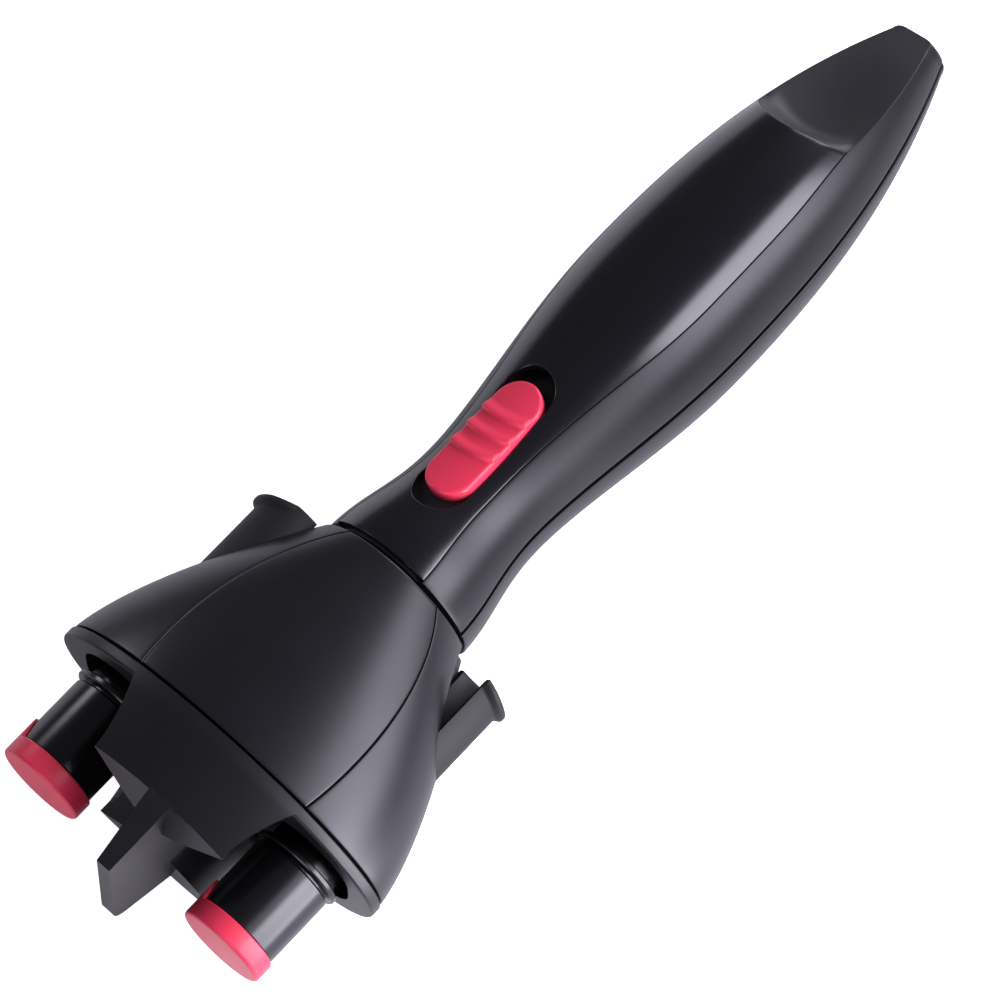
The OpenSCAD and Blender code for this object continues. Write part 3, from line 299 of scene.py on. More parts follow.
def handle_side(side):
    """A side of the front shell, from the parting line up to the panel and, past the scoop's corner, to its floor.
    Angle a at station u lies at (r sin a, r cos a); the borders roll in by a quarter circle."""
    u, r = end_rows(150, SHELL_EDGE)
    low = np.pi / 2 - SHELL_GAP / np.maximum(r, 1)
    top = np.where(u < corner_u, panel_angle(u) + PANEL_GAP / np.maximum(r, 1),
                   np.arccos(np.clip(floor_z(u) / np.maximum(r, 1e-6), -1, 1)))
    top = np.where((u > HANDLE_END - 0.001) & (r < floor_z(HANDLE_END)), 0, top)
    room = (low - top) * r * 0.3
    e_top, e_low = (np.minimum(e, room) / np.maximum(r, 0.5) for e in (PANEL_EDGE, SHELL_EDGE))
    t = np.linspace(0, 1, 22)
    a = np.concatenate([top[:, None] + e_top[:, None] * EDGE_STEPS[:-1],
                        (top + e_top)[:, None] + (low - top - e_low - e_top)[:, None] * t,
                        low[:, None] - e_low[:, None] * EDGE_STEPS[:-1][::-1]], 1)
    d_top = (a - top[:, None]) * r[:, None]
    d_low = (low[:, None] - a) * r[:, None]
    d_front = (u - HANDLE_FRONT)[:, None] + 0 * a
    depth = np.maximum(rolled(d_top, (e_top * r)[:, None]), rolled(d_low, (e_low * r)[:, None]))
    depth = np.maximum(depth, rolled(d_front, SHELL_EDGE))
    depth = np.minimum(depth, r[:, None])
    deep = np.minimum(WALL, r)[:, None] + 0 * a
    flat = np.clip(u, None, HANDLE_END - WALL)[:, None] + 0 * a
    outer = in_handle(u[:, None] + 0 * a, side * (r[:, None] - depth) * np.sin(a), (r[:, None] - depth) * np.cos(a))
    inner = in_handle(flat, side * (r[:, None] - deep) * np.sin(a), (r[:, None] - deep) * np.cos(a))
    return walled(outer, inner)


def end_r(u):
    """Radius of the handle with the rounding of its end face."""
    into = np.clip(u - (HANDLE_END - TIP_ROUND), 0, TIP_ROUND)
    return handle_r(np.minimum(u, HANDLE_END - TIP_ROUND)) - TIP_ROUND + np.sqrt(TIP_ROUND ** 2 - into ** 2)


RAMP = 6.5


def scoop_bed():
    """Floor of the thumb scoop: a plane that slopes to the handle's end. At the round edge it starts at the panel's
    height and comes down in a hollow curve."""
    q = (np.linspace(0, 1, 90) ** 1.4)[:, None]
    h = np.linspace(-1, 1, 61)[None, :]
    edge_u = corner_u + (HANDLE_END - 0.01 - corner_u) * q
    width = np.sqrt(np.maximum(0.2, end_r(edge_u) ** 2 - floor_z(edge_u) ** 2)) - 0.03
    start = scoop_arc(h * CORNER_Y)
    u = start + (edge_u[-1] - start) * q
    y = h * width
    far = u - start
    drop = np.sqrt(np.maximum(0, handle_r(start) ** 2 - (h * CORNER_Y) ** 2)) - floor_z(start) - 0.25
    z = floor_z(u) + np.maximum(drop, 0) * np.clip(1 - far / RAMP, 0, 1) ** 2.2
    z = z - 1.3 * (1 - h * h) * ease(far / 5) * (1 - ease((u - 131) / 24))
    return walled(in_handle(u, y, z - 0.02), in_handle(u, y * 0.97, z - 1.8))


def scoop_wall():
    """Upright wall between the panel's round end and the scoop's floor."""
    y = np.linspace(-1, 1, 61)[None, :] * (CORNER_Y - 0.3)
    up = np.linspace(0, 1, 6)[:, None]
    u = scoop_arc(y) + 0 * up
    r = handle_r(u) - 0.5
    top = np.sqrt(np.maximum(1, r * r - y * y))
    low = floor_z(u) - 1.2
    z = low + np.maximum(top - low, 0.1) * up
    return walled(in_handle(u, y, z), in_handle(u - 1.0, y, z))


def switch_seat():
    """Bed under the panel: it follows the handle at the panel's depth and is flat under the knob."""
    u = edged(HANDLE_FRONT + 0.05, 60.0, 0.25, 60)[:, None]
    f = np.linspace(-1, 1, 61)[None, :]
    r = handle_r(u) - PANEL_T - 0.03
    a = f * (panel_angle(u) + 0.03)
    y, z = r * np.sin(a), r * np.cos(a)
    flat = (np.abs(u - SLOT_AT) < SLOT_LEN / 2 + 1) & (np.abs(y) < SLOT_W / 2 + 0.8)
    z = np.where(flat, np.minimum(z, SEAT_Z - 0.02), z)
    return walled(in_handle(u + 0 * y, y, z), in_handle(u + 0 * y, y * 0.93, z - 1.2))


def front_panel():
    """The front panel: a patch of the handle's surface between its two seams, the collar and the scoop's edge."""
    e, gap, border = PANEL_EDGE, PANEL_GAP, 0.035
    f = edged(-1.0, 1.0, border, 61)
    a_end = f * panel_angle(corner_u)
    u_end = np.full_like(f, corner_u)
    for _ in range(30):
        u_end = 0.5 * u_end + 0.5 * scoop_arc(handle_r(u_end) * np.sin(a_end))
    u = edged(PANEL_FROM + 0 * f, u_end - gap, e, 150)
    r = handle_r(u)
    half = panel_angle(u) - gap / r
    edge = e / r
    a = np.where(np.abs(f) <= 1 - border + 1e-9, f / (1 - border) * (half - edge),
                 np.sign(f) * (half - (1 - np.abs(f)) / border * edge))
    side = (half - np.abs(a)) * r
    ends = np.minimum(u - PANEL_FROM, (u_end - gap) - u)
    depth = np.maximum(rolled(side, e), rolled(ends, e))
    return walled(in_handle(u, (r - depth) * np.sin(a), (r - depth) * np.cos(a)),
                  in_handle(u, (r - PANEL_T + 0.05) * np.sin(a * 0.995), (r - PANEL_T + 0.05) * np.cos(a * 0.995)))


def stadium(length, width, n=96):
    """Points round a stadium and, for each, the nearest point of its middle line; both as x and y."""
    half = (length - width) / 2
    turn = np.linspace(-np.pi / 2, np.pi / 2, n // 4)
    x = np.concatenate([half + width / 2 * np.cos(turn), np.linspace(half, -half, n // 4)[1:-1],
                        -half - width / 2 * np.cos(turn), np.linspace(-half, half, n // 4)[1:-1]])
    y = np.concatenate([width / 2 * np.sin(turn), np.full(n // 4 - 2, width / 2),
                        -width / 2 * np.sin(turn), np.full(n // 4 - 2, -width / 2)])
    return x, y, np.clip(x, -half, half), 0 * y


def slot_cutter():
    """Tool that cuts the switch slot: a stadium carried down from above the panel, with its mouth opened by a
    quarter circle that follows the panel's curve."""
    x, y, mx, my = stadium(SLOT_LEN, SLOT_W)
    e = 0.25
    down = np.concatenate([[-2.0, -0.02], e * EDGE_STEPS[1:], [2.4]])
    wide = np.concatenate([[e, e], rolled(down[2:-1], e), [0.0]])
    d = np.hypot(x - mx, y - my)
    nx, ny = (x - mx) / d, (y - my) / d
    px = x + wide[:, None] * nx
    py = y + wide[:, None] * ny
    r = handle_r(SLOT_AT + px)
    z = np.sqrt(r * r - py * py) - down[:, None]
    rings = in_handle(SLOT_AT + px, py, z)
    top = in_handle(SLOT_AT + 0 * px[:1], 0 * py[:1], 19.0)
    low = in_handle(SLOT_AT + 0 * px[:1], 0 * py[:1], 11.0)
    return hooped(np.concatenate([top, rings, low]))


def knob_top(u, y):
    """Height of the knob: it follows the handle, with three ribs for the thumb. Each rises steeply on the head's
    side and falls off gently behind, and the ribs bow towards the head's end at the middle."""
    r = handle_r(SLOT_AT) + 0.25 * (handle_r(u) - handle_r(SLOT_AT)) + KNOB_PROUD
    z = np.sqrt((1.6 * r) ** 2 - y * y) - 0.6 * r
    for k in (-1, 0, 1):
        x = u - SLOT_AT + 0.1 - k * RIDGE_PITCH - 0.03 * y * y + 0.1 * y
        z = z + 0.75 * ease(x / 0.55) * (1 - ease((x - 0.5) / 2.8))
    return z


def switch_knob():
    """Slide knob: rings from the middle line of a stadium out to its border, where the top rolls down to the side."""
    x, y, mx, my = stadium(KNOB_LEN, KNOB_W, 480)
    e = 0.7
    f = edged(0.0, KNOB_W / 2, e, 40, first=False) / (KNOB_W / 2)
    px, py = mx + (x - mx) * f[:, None], my + (y - my) * f[:, None]
    z = knob_top(SLOT_AT + px, py) - rolled((1 - f[:, None]) * KNOB_W / 2, e)
    low = SEAT_Z + 0.1
    side = np.linspace(0, 1, 4)[1:, None]
    sx, sy = px[-1:] + 0 * side, py[-1:] + 0 * side
    sz = z[-1:] + (low - z[-1:]) * side
    bx, by = mx[None, :], my[None, :]
    return hooped(np.concatenate([in_handle(SLOT_AT + px, py, z), in_handle(SLOT_AT + sx, sy, sz),
                                  in_handle(SLOT_AT + bx, by, low + 0 * bx)]))


def back_half():
    """Back shell: half of the handle, with a step where the battery cover lies in it."""
    u1, r1 = end_rows(170, SHELL_EDGE)
    keep = u1
    near = lambda v: int(np.argmin(np.abs(keep - v)))
    i, j = near(DOOR_FROM), near(DOOR_TO)
    keep[i], keep[j] = DOOR_FROM, DOOR_TO
    in_door_row = np.concatenate([np.zeros(i + 1, bool), np.ones(j - i + 1, bool), np.zeros(len(keep) - j, bool)])
    rows = np.concatenate([np.arange(i + 1), np.arange(i, j + 1), np.arange(j, len(keep))])
    u = keep[rows]
    r = np.where(u <= HANDLE_END - TIP_ROUND, handle_r(u), r1[rows])
    gap = SHELL_GAP / np.maximum(r, 1)
    e = np.minimum(SHELL_EDGE / np.maximum(r, 1), 0.3)
    door = np.arcsin(np.minimum(0.8, DOOR_HALF_W / np.maximum(r, 1)))
    lo, hi = np.pi / 2 + gap, 1.5 * np.pi - gap
    left, right = np.pi - door, np.pi + door
    steps, part, across_door = EDGE_STEPS[:-1], np.linspace(0, 1, 16), np.linspace(0, 1, 25)
    lo2, hi2, left2, right2, e2 = (v[:, None] for v in (lo, hi, left, right, e))
    a = np.concatenate([lo2 + e2 * steps, lo2 + e2 + (left2 - lo2 - e2) * part, left2 + (right2 - left2) * across_door,
                        right2 + (hi2 - e2 - right2) * part, hi2 - e2 * steps[::-1]], 1)
    in_door_col = np.zeros(a.shape[1], bool)
    in_door_col[len(steps) + len(part):][:len(across_door)] = True
    r2 = r[:, None]
    depth = np.maximum(rolled((a - lo2) * r2, SHELL_EDGE), rolled((hi2 - a) * r2, SHELL_EDGE))
    depth = np.maximum(depth, rolled((u - HANDLE_FRONT)[:, None] + 0 * a, SHELL_EDGE))
    depth = np.where(in_door_row[:, None] & in_door_col[None, :], 2.3, depth)
    depth = np.minimum(depth, r2)
    deep = np.minimum(3.0, r)[:, None] + 0 * a
    flat = np.clip(u, None, HANDLE_END - WALL)[:, None] + 0 * a
    return walled(in_handle(u[:, None] + 0 * a, (r2 - depth) * np.sin(a), (r2 - depth) * np.cos(a)),
                  in_handle(flat, (r2 - deep) * np.sin(a), (r2 - deep) * np.cos(a)))


def battery_lid():
    """Battery cover: a patch of the back shell's surface with rolled edges."""
    e, gap = 0.4, 0.15
    u = edged(DOOR_FROM + gap, DOOR_TO - gap, e, 90)[:, None]
    y = edged(-DOOR_HALF_W + gap, DOOR_HALF_W - gap, e, 50)[None, :]
    ends = np.minimum(u - DOOR_FROM - gap, DOOR_TO - gap - u)
    sides = DOOR_HALF_W - gap - np.abs(y)
    depth = np.maximum(rolled(ends + 0 * y, e), rolled(sides + 0 * u, e))
    r = handle_r(u)
    z = -np.sqrt(r * r - y * y)
    ri = r - WALL
    zi = -np.sqrt(ri * ri - y * y)
    return walled(in_handle(u + 0 * y, y + 0 * u, z + depth), in_handle(u + 0 * y, y + 0 * u, zi))


def thumb_grips():
    """Three raised bars across the battery cover, for the thumb that slides it off."""
    bars = []
    for k in range(3):
        x, y, mx, my = stadium(13.0, 1.3, 64)
        f = edged(0.0, 0.65, 0.5, 5, first=False) / 0.65
        py, pu = mx + (x - mx) * f[:, None], my + (y - my) * f[:, None]
        u = DOOR_TO - 6 - 2.6 * k + pu
        r = handle_r(u) + 0.45 - rolled((1 - f[:, None]) * 0.65, 0.5)
        z = -np.sqrt(r * r - py * py)
        low = in_handle(u[-1:], py[-1:], z[-1:] + 1.2)
        mid = in_handle(u[:1], py[:1], z[:1] + 1.6)
        bars.append(hooped(np.concatenate([in_handle(u, py, z), low, mid])))
    return bars


# ---------------------------------------------------------------- shapes of the head

def flare(u):
    """Share of the way from the collar's size to the rim's at a station."""
    return 1 - (1 - np.clip(-u / HEAD_LEN, 0, 1)) ** FLARE


def half_w(u):
    """Half width of the head at a station."""
    return HEAD_COLLAR_R + (RIM_HALF_W - HEAD_COLLAR_R) * flare(u)


def half_d(u):
    """Half depth of the head at a station."""
    return HEAD_COLLAR_R + (RIM_HALF_D - HEAD_COLLAR_R) * flare(u)


def seam_angle(u):
    """Angle of the seam between a cover and a cheek, from the front: the seam bows outwards as an ellipse."""
    w = SEAM_HALF_W * np.sqrt(np.maximum(0, 1 - ((u - SEAM_MID) / SEAM_REACH) ** 2))
    return np.arcsin(np.minimum(0.98, w / half_w(u)))


# Gap between the shells and the rim band
RIM_GAP = 0.6


def head_patch(start, end, flip):
    """A shell of the head: point (half_w sin a, half_d cos a) at station u, between two angles from the front.
    Its borders roll in, and flip turns it half round the axis."""
    e, gap = 0.28, 0.09
    u = edged(-HEAD_LEN + RIM_GAP, -0.02, e, 90)
    t = np.linspace(0, 1, 91)
    mean = (half_w(u) + half_d(u)) / 2
    a0, a1 = start(u) + gap / mean, end(u) - gap / mean
    step = e / mean
    a = np.concatenate([a0[:, None] + step[:, None] * EDGE_STEPS[:-1],
                        (a0 + step)[:, None] + (a1 - a0 - 2 * step)[:, None] * t,
                        a1[:, None] - step[:, None] * EDGE_STEPS[:-1][::-1]], 1)
    d = np.minimum((a - a0[:, None]) * mean[:, None], (a1[:, None] - a) * mean[:, None])
    along = np.minimum(u + HEAD_LEN - RIM_GAP, -0.02 - u)[:, None]
    depth = np.maximum(rolled(d, e), rolled(along + 0 * a, e))
    s = -1.0 if flip else 1.0

    def at(x):
        w, h = half_w(u)[:, None] - x, half_d(u)[:, None] - x
        return in_head(u[:, None] + 0 * a, s * w * np.sin(a), s * h * np.cos(a))
    return walled(at(depth), at(2.0 + 0 * a))


def base_plate():
    """Base of the head: a rim band with rolled edges, a flat face and a step that reaches up inside the shells."""
    a, b = RIM_HALF_W + BAND_PROUD, RIM_HALF_D + BAND_PROUD
    low, top = -HEAD_LEN - BAND_H, -HEAD_LEN
    line = fillet([(low, -b), (low, 0), (top, 0), (top, -2.5), (top + 2.4, -2.5), (top + 2.4, -b)],
                  [0, 0.6, 0.2, 0, 0, 0], 7)
    t = np.linspace(0, 2 * np.pi, 240, endpoint=False)
    u, d = line.T
    shrink = np.maximum(0, 1 + d / b)
    thin = d > -4
    w = np.where(thin, a + d, a * shrink)[:, None]
    h = np.where(thin, b + d, b * shrink)[:, None]
    return hooped(in_head(u[:, None] + 0 * t, w * np.sin(t), h * np.cos(t)))


def tube_cutter(r, u0, u1, y):
    """Tool for a round hole between two stations, at a distance y from the head's axis."""
    return lathe([(u0, 0), (u0, r), (u1, r), (u1, 0)], in_head, y)


def pocket_tool(y):
    """Tool for the oval pocket round a barrel's foot: it reaches further to the front and back than to the sides."""
    z, w = stadium(2 * (POCKET_R + POCKET_REACH), 2 * POCKET_R)[:2]
    rows = np.array([0.0, 1.0, 1.0, 0.0])[:, None]
    u = np.array([-60.0, -60.0, -47.5, -47.5])[:, None]
    return hooped(in_head(u + 0 * z, y + w * rows, z * rows))


def roller_barrel():
    """Barrel of a roller: a turned tube that ends above the base in a groove, a ring and a narrower neck."""
    neck_end = -HEAD_LEN - BAND_H + 3.1
    end = -HEAD_LEN - BAND_H - BARREL_CLEAR
    ring, neck_r = end + 0.7, BARREL_R - 0.9
    return [(CAP_AT + CAP_LEN, 5.2), (CAP_AT + CAP_LEN, BARREL_R - 0.3), (CAP_AT + CAP_LEN + 0.3, BARREL_R),
            (end - 0.4, BARREL_R), (end, BARREL_R - 0.4), (end, neck_r), (ring, neck_r), (ring, 9.6),
            (ring + 0.3, 9.9), (ring + 1.0, 9.9), (ring + 1.3, 9.6), (ring + 1.3, neck_r), (neck_end, neck_r),
            (neck_end, 7.5), (-35.1, 7.5), (-35.1, 5.2), (CAP_AT + CAP_LEN, 5.2)]


def cap_shell():
    """End cap of a roller: a shallow cup with a rounded edge and a barely domed face."""
    e = 0.8
    turn = np.linspace(0, np.pi / 2, 9)
    edge = np.stack([CAP_AT + e - e * np.cos(turn), CAP_R - e + e * np.sin(turn)], 1)
    return np.concatenate([[(CAP_AT, 0)], edge,
                           [(CAP_AT + CAP_LEN - 0.25, CAP_R), (CAP_AT + CAP_LEN, CAP_R - 0.2),
                            (CAP_AT + CAP_LEN, 7.6), (CAP_AT + 1.7, 7.6), (CAP_AT + 1.7, 0)]])


def cap_ear(y):
    """Pointed ear of an end cap: a patch of the cap's cylinder on the barrel's +Y side that narrows to its tip."""
    s = np.linspace(0, 1, 30)[:, None]
    half = EAR_ANGLE * np.sqrt(np.maximum(0, 1 - s)) + 0.02
    f = np.linspace(-1, 1, 25)[None, :]
    a = np.pi / 2 + half * f
    u = CAP_AT + CAP_LEN - 0.8 + (EAR_LEN + 0.8) * s + 0 * a
    d = np.minimum((1 - np.abs(f)) * half * CAP_R, (1 - s) * EAR_LEN * 0.5 + 0 * a)
    r = CAP_R - rolled(d, 0.3)
    ri = BARREL_R + 0.06
    return walled(in_head(u, y + r * np.sin(a), r * np.cos(a)), in_head(u, y + ri * np.sin(a), ri * np.cos(a)))


def hair_hook(side):
    """Hair guide behind a roller: a tube inside the head that opens into a hook with a flared, slanted lip.
    The section is an arc of wall from one open edge round to the other, carried along the axis."""
    s = -1.0 if side > 0 else 1.0

    def put(u, v, w):
        # v points outwards from the main axis, w to the front; the left guide is the right one turned half round
        return in_head(u, s * (-(ROLLER_Y + v)), s * w)

    tube = np.linspace(0, 2 * np.pi, 96, endpoint=False)
    prof = np.array([(GUIDE_START, GUIDE_BORE_R), (GUIDE_START, GUIDE_R), (GUIDE_OPEN, GUIDE_R),
                     (GUIDE_OPEN, GUIDE_BORE_R), (GUIDE_START, GUIDE_BORE_R)])
    u, r = prof.T
    full = hooped(put(u[:, None] + 0 * tube, r[:, None] * np.cos(tube), r[:, None] * np.sin(tube)))
    # open trough: angles from the outer open edge, under the back, to the inner open edge
    start, inner_edge = np.arccos((GUIDE_EDGE_Y - ROLLER_Y) / GUIDE_R), 0.92
    a = -np.linspace(-start, np.pi - inner_edge, 91)[None, :]
    along = edged(0.0, 1.0, 0.02, 60, first=False)[:, None]
    out = np.clip(np.cos(a), 0, None)
    stop_u = GUIDE_END - np.tan(LIP_SLANT) * GUIDE_R * out
    u = GUIDE_OPEN - 0.5 + (stop_u - GUIDE_OPEN + 0.5) * along
    to_lip = np.clip(stop_u - u, 0, None)
    flareout = (LIP_R - GUIDE_R) * np.clip(out * 1.6, 0, 1) * (1 - ease((to_lip - 0.9) / 1.3))
    r_out = GUIDE_R + flareout - rolled(to_lip, 0.3) * 0.8
    r_in = GUIDE_BORE_R + 0.35 * (1 - ease(to_lip / 0.6))
    hook = walled(put(u, r_out * np.cos(a), r_out * np.sin(a)), put(u, r_in * np.cos(a), r_in * np.sin(a)))
    return [full, hook]


def skirt_face(v, y, sign):
    """Depth of a skirt's outer face: flush with the rim band over its height, then drawn in to the lower edge."""
    band = BAND_H / (BAND_H - FRONT_SKIRT_AT - HEAD_LEN - BAND_H)
    below = np.clip((v - band) / (1 - band), 0, 1) ** 1.12
    d = RIM_HALF_D + BAND_PROUD + 0.02 + (SKIRT_LOW_D - RIM_HALF_D - BAND_PROUD) * below
    return sign * d * np.sqrt(1 - (y / (RIM_HALF_W + BAND_PROUD)) ** 2)


def skirt_shape(sign, low_at, lean):
    """A skirt of the nose: one outline of the section, carried from the rim down to a flat or leaning underside.
    The outline spreads from the fin to the outer face; its upper corners flare out to the rim."""
    v = np.linspace(0, 1, 25)[:, None]
    width = SKIRT_LOW_W + (SKIRT_W - SKIRT_LOW_W) * (1 - v) ** 1.7
    if sign < 0:
        width = width - 3.0 * np.clip((v - 0.8) / 0.2, 0, 1) ** 2.2
    t = np.linspace(0, 1, 9)[None, :]
    flank = [(t * FIN_T / 2, WAIST_Z + 0 * t),
             (FIN_T / 2 + (FLANK_Y - FIN_T / 2) * t, WAIST_Z + (FLANK_Z - WAIST_Z) * t),
             (FLANK_Y + (SKIRT_LOW_W - FLANK_Y) * t, FLANK_Z + (KNEE_Z - FLANK_Z) * t)]
    ys = np.concatenate([f[0][:, :-1] for f in flank], 1) + 0 * v
    zs = np.concatenate([f[1][:, :-1] for f in flank], 1) + 0 * v
    out_y = SKIRT_LOW_W + (width - SKIRT_LOW_W) * t
    out_z = KNEE_Z + (abs(skirt_face(v, width, 1.0)) - KNEE_Z) * t
    arc = np.linspace(1, -1, 61)[None, 1:-1] * width
    y = np.concatenate([ys, out_y, arc, -out_y[:, ::-1], -ys[:, :0:-1]], 1)
    z = np.concatenate([zs, out_z, abs(skirt_face(v, arc, 1.0)), out_z[:, ::-1], zs[:, :0:-1]], 1)
    bottom = low_at - (SKIRT_LOW_D - z[-1]) * lean
    u = -HEAD_LEN - 0.02 + (bottom + HEAD_LEN + 0.02) * v
    shrink = np.array([0.85, 0.5, 0.0])[:, None]
    cy, cz = y[-1] * shrink, 17.5 + (z[-1] - 17.5) * shrink
    cu = low_at - (SKIRT_LOW_D - cz) * lean
    ty, tz, tu = y[:1] * shrink[::-1], 17.5 + (z[:1] - 17.5) * shrink[::-1], u[:1] + 0 * shrink
    return hooped(in_head(np.concatenate([tu, u, cu]), np.concatenate([ty, y, cy]) * sign,
                          np.concatenate([tz, z, cz]) * sign))


def fin_shape():
    """Divider fin: a slab between its front and back outlines, flat on one side and thinner towards its tip."""
    front = np.array([(-52, 21.0), (-62, 22.2), (-64.9, 22.38), (-68, 22.3), (-73, 22.1), (-78, 21.93),
                      (-81, 21.84)]
                     + [(FIN_TIP + FIN_SETBACK, 21.8)] * 9)
    tip = fillet([(-79.5, -13.35), (FIN_TIP, -FIN_TIP_Z), (FIN_TIP + 0.18, -5.0)], [0, 4.2, 0], 8)
    back = np.array([(-52, -20.5), (-62, -20.5), (-64.9, -20.5), (BACK_SKIRT_AT, -20.5), (-71, -18.4), (-75.5, -15.73)])
    back = np.concatenate([back, tip])
    f = np.linspace(0, 1, 30)[None, :]
    u = front[:, :1] + (back[:, :1] - front[:, :1]) * f
    z = front[:, 1:] + (back[:, 1:] - front[:, 1:]) * f
    top = FIN_T / 2 - FIN_TAPER * np.clip((FRONT_SKIRT_AT - u) / (FRONT_SKIRT_AT - FIN_TIP), 0, 1)
    return walled(in_head(u, top, z), in_head(u, -FIN_T / 2, z))


def rounded(obj, width_mm, steps=3):
    """Rounds the sharp edges of a piece by a bevel of the given width."""
    step = obj.modifiers.new("edges", "BEVEL")
    step.width, step.segments, step.limit_method = width_mm * MM, steps, "ANGLE"
    step.angle_limit = np.radians(26)
    step.harden_normals = False
    return obj


def slot_tool(y):
    """Tool for the slot in a roller's barrel, on the side away from the viewer."""
    x, w = stadium(11.0, 6.0, 64)[:2]
    rows = np.array([0.0, 1.0, 1.0, 0.0])[:, None]
    z = np.array([-2.0, -2.0, -12.0, -12.0])[:, None]
    return hooped(in_head(-63.6 + x * rows, y + w * rows, z + 0 * x))


# ---------------------------------------------------------------- finishes

def linear(code):
    """An sRGB hex colour as linear red, green, blue and alpha."""
    c = np.array([int(code[i:i + 2], 16) for i in (1, 3, 5)]) / 255
    return tuple(np.where(c <= 0.04045, c / 12.92, ((c + 0.055) / 1.055) ** 2.4)) + (1.0,)


def add(tree, kind, settings=(), links=()):
    """Adds a shader node, sets its properties or sockets by name and links sockets to outputs."""
    n = tree.nodes.new(kind)
    for key, value in dict(settings).items():
        if key in n.inputs:
            n.inputs[key].default_value = value
        else:
            setattr(n, key, value)
    for key, source in dict(links).items():
        tree.links.new(source, n.inputs[key])
    return n


def finish_of(name, colour, rough, metal=0.0, grain_mm=0.0, grain_depth=0.0, rough_var=0.0, speck=0.0, **more):
    """A finish: one colour and gloss, with a fine grain of the given size in mm from the mould or the tool."""
    m = bpy.data.materials.new(name)
    m.use_nodes = True
    t = m.node_tree
    t.nodes.clear()
    base = linear(colour)
    sockets = {"Base Color": base, "Roughness": rough, "Metallic": metal, **more}
    links = {}
    place = add(t, "ShaderNodeTexCoord").outputs["Object"]
    if rough_var:
        wide = add(t, "ShaderNodeTexNoise", {"Scale": 1 / (9 * MM), "Detail": 3.0}, {"Vector": place})
        links["Roughness"] = add(t, "ShaderNodeMapRange", {"To Min": rough - rough_var, "To Max": rough + rough_var},
                                 {"Value": wide.outputs["Fac"]}).outputs["Result"]
    if grain_mm:
        fine = add(t, "ShaderNodeTexNoise", {"Scale": 1 / (grain_mm * MM), "Detail": 2.0}, {"Vector": place})
        links["Normal"] = add(t, "ShaderNodeBump", {"Strength": 0.5, "Distance": grain_depth * MM},
                              {"Height": fine.outputs["Fac"]}).outputs["Normal"]
        if speck:
            dark = tuple(c * (1 - speck) for c in base[:3]) + (1.0,)
            mix = add(t, "ShaderNodeMix", {"data_type": "RGBA"})
            mix.inputs[6].default_value, mix.inputs[7].default_value = dark, base
            t.links.new(fine.outputs["Fac"], mix.inputs[0])
            links["Base Color"] = mix.outputs[2]
    shader = add(t, "ShaderNodeBsdfPrincipled", sockets, links)
    add(t, "ShaderNodeOutputMaterial", {}, {"Surface": shader.outputs["BSDF"]})
    return m


# Black ABS from a spark-eroded mould: a soft sheen with a slightly violet cast, and a grain that only shows close up
SATIN = finish_of("abs_black_moulded_satin", "#0E0D12", 0.36, grain_mm=0.35, grain_depth=0.012, rough_var=0.03)
# The front panel is the same plastic from a finer mould, so that the lamp's edge shows in it
SHEEN = finish_of("abs_black_moulded_sheen", "#0E0D12", 0.2, grain_mm=0.35, grain_depth=0.004, rough_var=0.02,
                  IOR=1.6)
# The hair guides and the inside of the slot, where the mould was left dull. Its darker colour is painted shade on the
# seat under the switch slot, where the slot's walls shade it, and it makes the hair guides darker and duller.
SHADE = finish_of("abs_black_dull_painted_shade", "#08080A", 0.62)
# The thumb scoop is from a coarser part of the mould, so that it looks evenly grey; its colour is lighter than the
# other black, as painted light for the light that falls on the scoop's floor
SCOOP = finish_of("abs_black_coarse_painted_light", "#16151A", 0.5, grain_mm=0.35, grain_depth=0.02, rough_var=0.03)
# The base and nose look duller than the shells
BASE = finish_of("abs_black_moulded_fine", "#0C0B0F", 0.42, grain_mm=0.35, grain_depth=0.012, rough_var=0.03)
# Black ABS from a polished mould: the barrels and the nose's back skirt mirror the lamps and each other
GLOSS = finish_of("abs_black_moulded_polished", "#0C0C0F", 0.25, rough_var=0.02)
# Coral red ABS, mass coloured, from a fine-ground mould
CORAL = finish_of("abs_coral_moulded", "#EE3A56", 0.34, grain_mm=0.4, grain_depth=0.006, rough_var=0.03)
ACETAL = finish_of("acetal_natural_moulded", "#E8E6DE", 0.45, rough_var=0.04)
GREY = finish_of("abs_grey_moulded", "#37373C", 0.5, rough_var=0.04)
STEEL = finish_of("steel_zinc_plated_pressed", "#B4B6BA", 0.32, metal=1.0, grain_mm=0.6, grain_depth=0.004)
BRASS = finish_of("brass_turned", "#C9A565", 0.28, metal=1.0, grain_mm=0.3, grain_depth=0.004)
SLEEVE = finish_of("pvc_cell_sleeve_plain", "#5A5C62", 0.3, rough_var=0.03)
RED_WIRE = finish_of("pvc_wire_red", "#B41E1E", 0.4, rough_var=0.03)
BLUE_WIRE = finish_of("pvc_wire_blue", "#263C98", 0.4, rough_var=0.03)
FERRITE = finish_of("ferrite_pressed", "#3E3E41", 0.6, grain_mm=0.5, grain_depth=0.02)

BY_SLOT = {"satin_black": SATIN, "gloss_black": GLOSS, "red": CORAL, "white_pom": ACETAL, "dark_plastic": GREY,
           "steel": STEEL, "brass": BRASS, "cell_sleeve": SLEEVE, "wire_red": RED_WIRE, "wire_blue": BLUE_WIRE,
           "magnet": FERRITE}
for part in frame["record"]["subparts"]:
    if part["node"] in frame["nodes"]:
        node = frame["nodes"][part["node"]]
        node.data.materials.clear()
        node.data.materials.append(BY_SLOT[part["material_slot"]])

# ---------------------------------------------------------------- pieces

